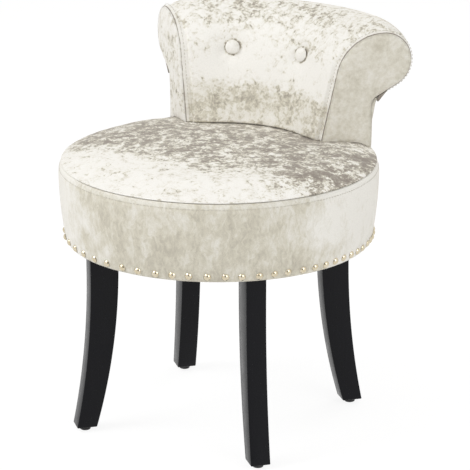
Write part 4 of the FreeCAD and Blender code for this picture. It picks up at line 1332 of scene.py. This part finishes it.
class STOOL_OT_dust_cover(StoolOperator, Operator):
    """Stretch the black cloth below the seat, cut out round the legs"""
    bl_idname = "stool.dust_cover"
    bl_label = "Dust cover"

    def build(self):
        legs = self.legs
        cell, thickness, sag = 0.012, 0.0008, 0.002
        radius = (high("dust_cover").x - low("dust_cover").x) / 2
        inner = legs.outer_radius - legs.depth - legs.opening_gap
        outer = legs.outer_radius + legs.opening_gap
        half = legs.thickness / 2 + legs.opening_gap
        bm = bmesh.new()
        bmesh.ops.create_circle(bm, cap_ends=True, radius=radius, segments=128)
        steps = int(radius / cell)
        cuts = [side * place for side in (-1, 1) for place in (inner, outer, half)]
        cuts += [cell * (i + 0.5) for i in range(-steps, steps)]
        for axis in (Vector((1, 0, 0)), Vector((0, 1, 0))):
            cut_across(bm, axis, cuts, 1e-5)
        openings = [f for f in bm.faces if self.in_opening(f.calc_center_median(), inner, outer, half)]
        bmesh.ops.delete(bm, geom=openings, context="FACES")
        turn_about_axis(bm, math.pi / 4)
        for v in bm.verts:
            middle = max(1.0 - (v.co.xy.length / radius) ** 2, 0.0) ** 2
            uneven = 0.15 * noise.noise(v.co * 30.0)
            v.co.z = high("dust_cover").z - sag * middle * (1.0 + uneven)
        shifted(bm, extruded(bm), (0, 0, -thickness))
        outward(bm)
        cloth = piece(bm, "dust_cloth", "dust_cloth", ["dust_cover"], self.move,
                      smooth=math.radians(40))

    def in_opening(self, point, inner, outer, half):
        """Whether a point lies where a leg passes through, the legs standing along X and Y here."""
        x, y = abs(point.x), abs(point.y)
        return (inner < x < outer and y < half) or (inner < y < outer and x < half)


class STOOL_OT_frame_finishes(StoolOperator, Operator):
    """Give the construction inside the stool its wood, steel, foam and cloth"""
    bl_idname = "stool.frame_finishes"
    bl_label = "Construction"

    def build(self):
        slots = {part["node"]: part["material_slot"] for part in frame["record"]["subparts"]}
        for name, node in frame["nodes"].items():
            if not node.hide_render:
                for material_slot in node.material_slots:
                    material_slot.material = finish(slots[name])


class STOOL_OT_stage(StoolOperator, Operator):
    """Set up the pale floor, the soft lights and the camera"""
    bl_idname = "stool.stage"
    bl_label = "Stage"

    def build(self):
        self.floor()
        self.world()
        self.lamp("key", (-1.5, -1.6, 2.2), 1.6, 36.0)
        self.lamp("fill", (2.1, -0.9, 1.4), 2.0, 17.0)
        self.lamp("rear", (0.3, 2.0, 1.9), 1.6, 9.0)
        self.camera()

    def floor(self):
        """A white floor that keeps part of the stool's shadow."""
        reach, glow, share = 12.0, 1.10, 0.80
        bm = bmesh.new()
        bmesh.ops.create_grid(bm, x_segments=2, y_segments=2, size=reach)
        mesh = as_mesh(bm, "floor")
        sh = Shader("floor")
        grey = (0.86, 0.86, 0.86)
        mesh.materials.append(sh.finish(Base_Color=grey, Roughness=0.9, Specular_IOR_Level=0.0))
        seen = sh.seen(sh.add("ShaderNodeLightPath").outputs)
        white = sh.light("ShaderNodeEmission", WHITE, glow)
        sh.blend(sh.times(seen, share), sh.surface.outputs["BSDF"], white)
        link(mesh, "floor")

    def world(self):
        """An even pale room that looks white, with a dark card that shiny faces mirror."""
        card_direction, card_edge, card_shade = (0.46, -0.83, 0.32), (0.90, 0.97), 0.12
        world = bpy.data.worlds.new("studio")
        bpy.context.scene.world = world
        sh = Nodes(world, "ShaderNodeOutputWorld")
        path = sh.add("ShaderNodeLightPath").outputs
        ahead = sh.vector("DOT_PRODUCT", sh.add("ShaderNodeTexCoord").outputs["Generated"], card_direction)
        card = sh.range(ahead, *card_edge, 1.0, card_shade)
        mirrored = sh.light("ShaderNodeBackground", WHITE, sh.math("MAXIMUM", card, path["Is Camera Ray"]))
        sh.blend(sh.seen(path), sh.light("ShaderNodeBackground", (1.0, 0.99, 0.97), 0.58), mirrored)

    def lamp(self, name, place, size, power):
        data = bpy.data.lights.new(name, "AREA")
        data.energy = power
        data.shape = "DISK"
        data.size = size
        lamp = bpy.data.objects.new(name, data)
        bpy.context.scene.collection.objects.link(lamp)
        lamp.location = place
        lamp.rotation_euler = (Vector((0.0, 0.0, 0.35)) - Vector(place)).to_track_quat("-Z", "Y").to_euler()

    def camera(self):
        """The photograph's camera: its bearing and height round the seat's axis, and its distance."""
        azimuth, elevation = math.radians(29.17), math.radians(17.67)
        distance, sideways, target_height = 3.45425, 0.02271, 0.27324
        focal_pixels, frame_pixels, sensor = 2436.77, 470.0, 36.0
        back = Vector((math.sin(azimuth) * math.cos(elevation), -math.cos(azimuth) * math.cos(elevation),
                       math.sin(elevation)))
        right = Vector((math.cos(azimuth), math.sin(azimuth), 0.0))
        target = self.move + Vector((0.0, 0.0, target_height)) + right * sideways
        data = bpy.data.cameras.new("camera")
        data.sensor_width = sensor
        data.lens = focal_pixels / frame_pixels * sensor
        data.clip_start, data.clip_end = 0.1, 100.0
        camera = bpy.data.objects.new("camera", data)
        bpy.context.scene.collection.objects.link(camera)
        camera.location = target + back * distance
        camera.rotation_euler = back.to_track_quat("Z", "Y").to_euler()
        bpy.context.scene.camera = camera


OPERATORS = (STOOL_OT_seat_cushion, STOOL_OT_seat_band, STOOL_OT_topstitching, STOOL_OT_nails,
             STOOL_OT_back_cushion, STOOL_OT_back_stitching, STOOL_OT_back_ends, STOOL_OT_back_outside,
             STOOL_OT_buttons, STOOL_OT_legs, STOOL_OT_glides, STOOL_OT_dust_cover,
             STOOL_OT_frame_finishes, STOOL_OT_stage)
GROUPS = {"stool_seat": SeatSizes, "stool_back": BackSizes, "stool_trim": TrimSizes,
          "stool_legs": LegSizes, "stool_finishes": Finishes}


class STOOL_PT_sidebar(Panel):
    """The stool's sizes, colours and pieces"""
    bl_idname = "STOOL_PT_sidebar"
    bl_label = "Vanity stool"
    bl_space_type = "VIEW_3D"
    bl_region_type = "UI"
    bl_category = "Vanity stool"

    def draw(self, context):
        for group in GROUPS:
            box = self.layout.box()
            values = getattr(context.scene, group)
            for key in values.bl_rna.properties.keys():
                if key not in {"rna_type", "name"}:
                    box.prop(values, key)
        for operator in OPERATORS:
            self.layout.operator(operator.bl_idname)


def register():
    for group, kind in GROUPS.items():
        bpy.utils.register_class(kind)
        setattr(bpy.types.Scene, group, PointerProperty(type=kind))
    for operator in OPERATORS:
        bpy.utils.register_class(operator)
    bpy.utils.register_class(STOOL_PT_sidebar)


def unregister():
    bpy.utils.unregister_class(STOOL_PT_sidebar)
    for operator in reversed(OPERATORS):
        bpy.utils.unregister_class(operator)
    for group, kind in reversed(GROUPS.items()):
        delattr(bpy.types.Scene, group)
        bpy.utils.unregister_class(kind)


def main():
    register()
    bpy.context.scene.view_settings.view_transform = "Standard"
    for operator in OPERATORS:
        module, name = operator.bl_idname.split(".")
        getattr(getattr(bpy.ops, module), name)()


if __name__ == "__main__":
    main()
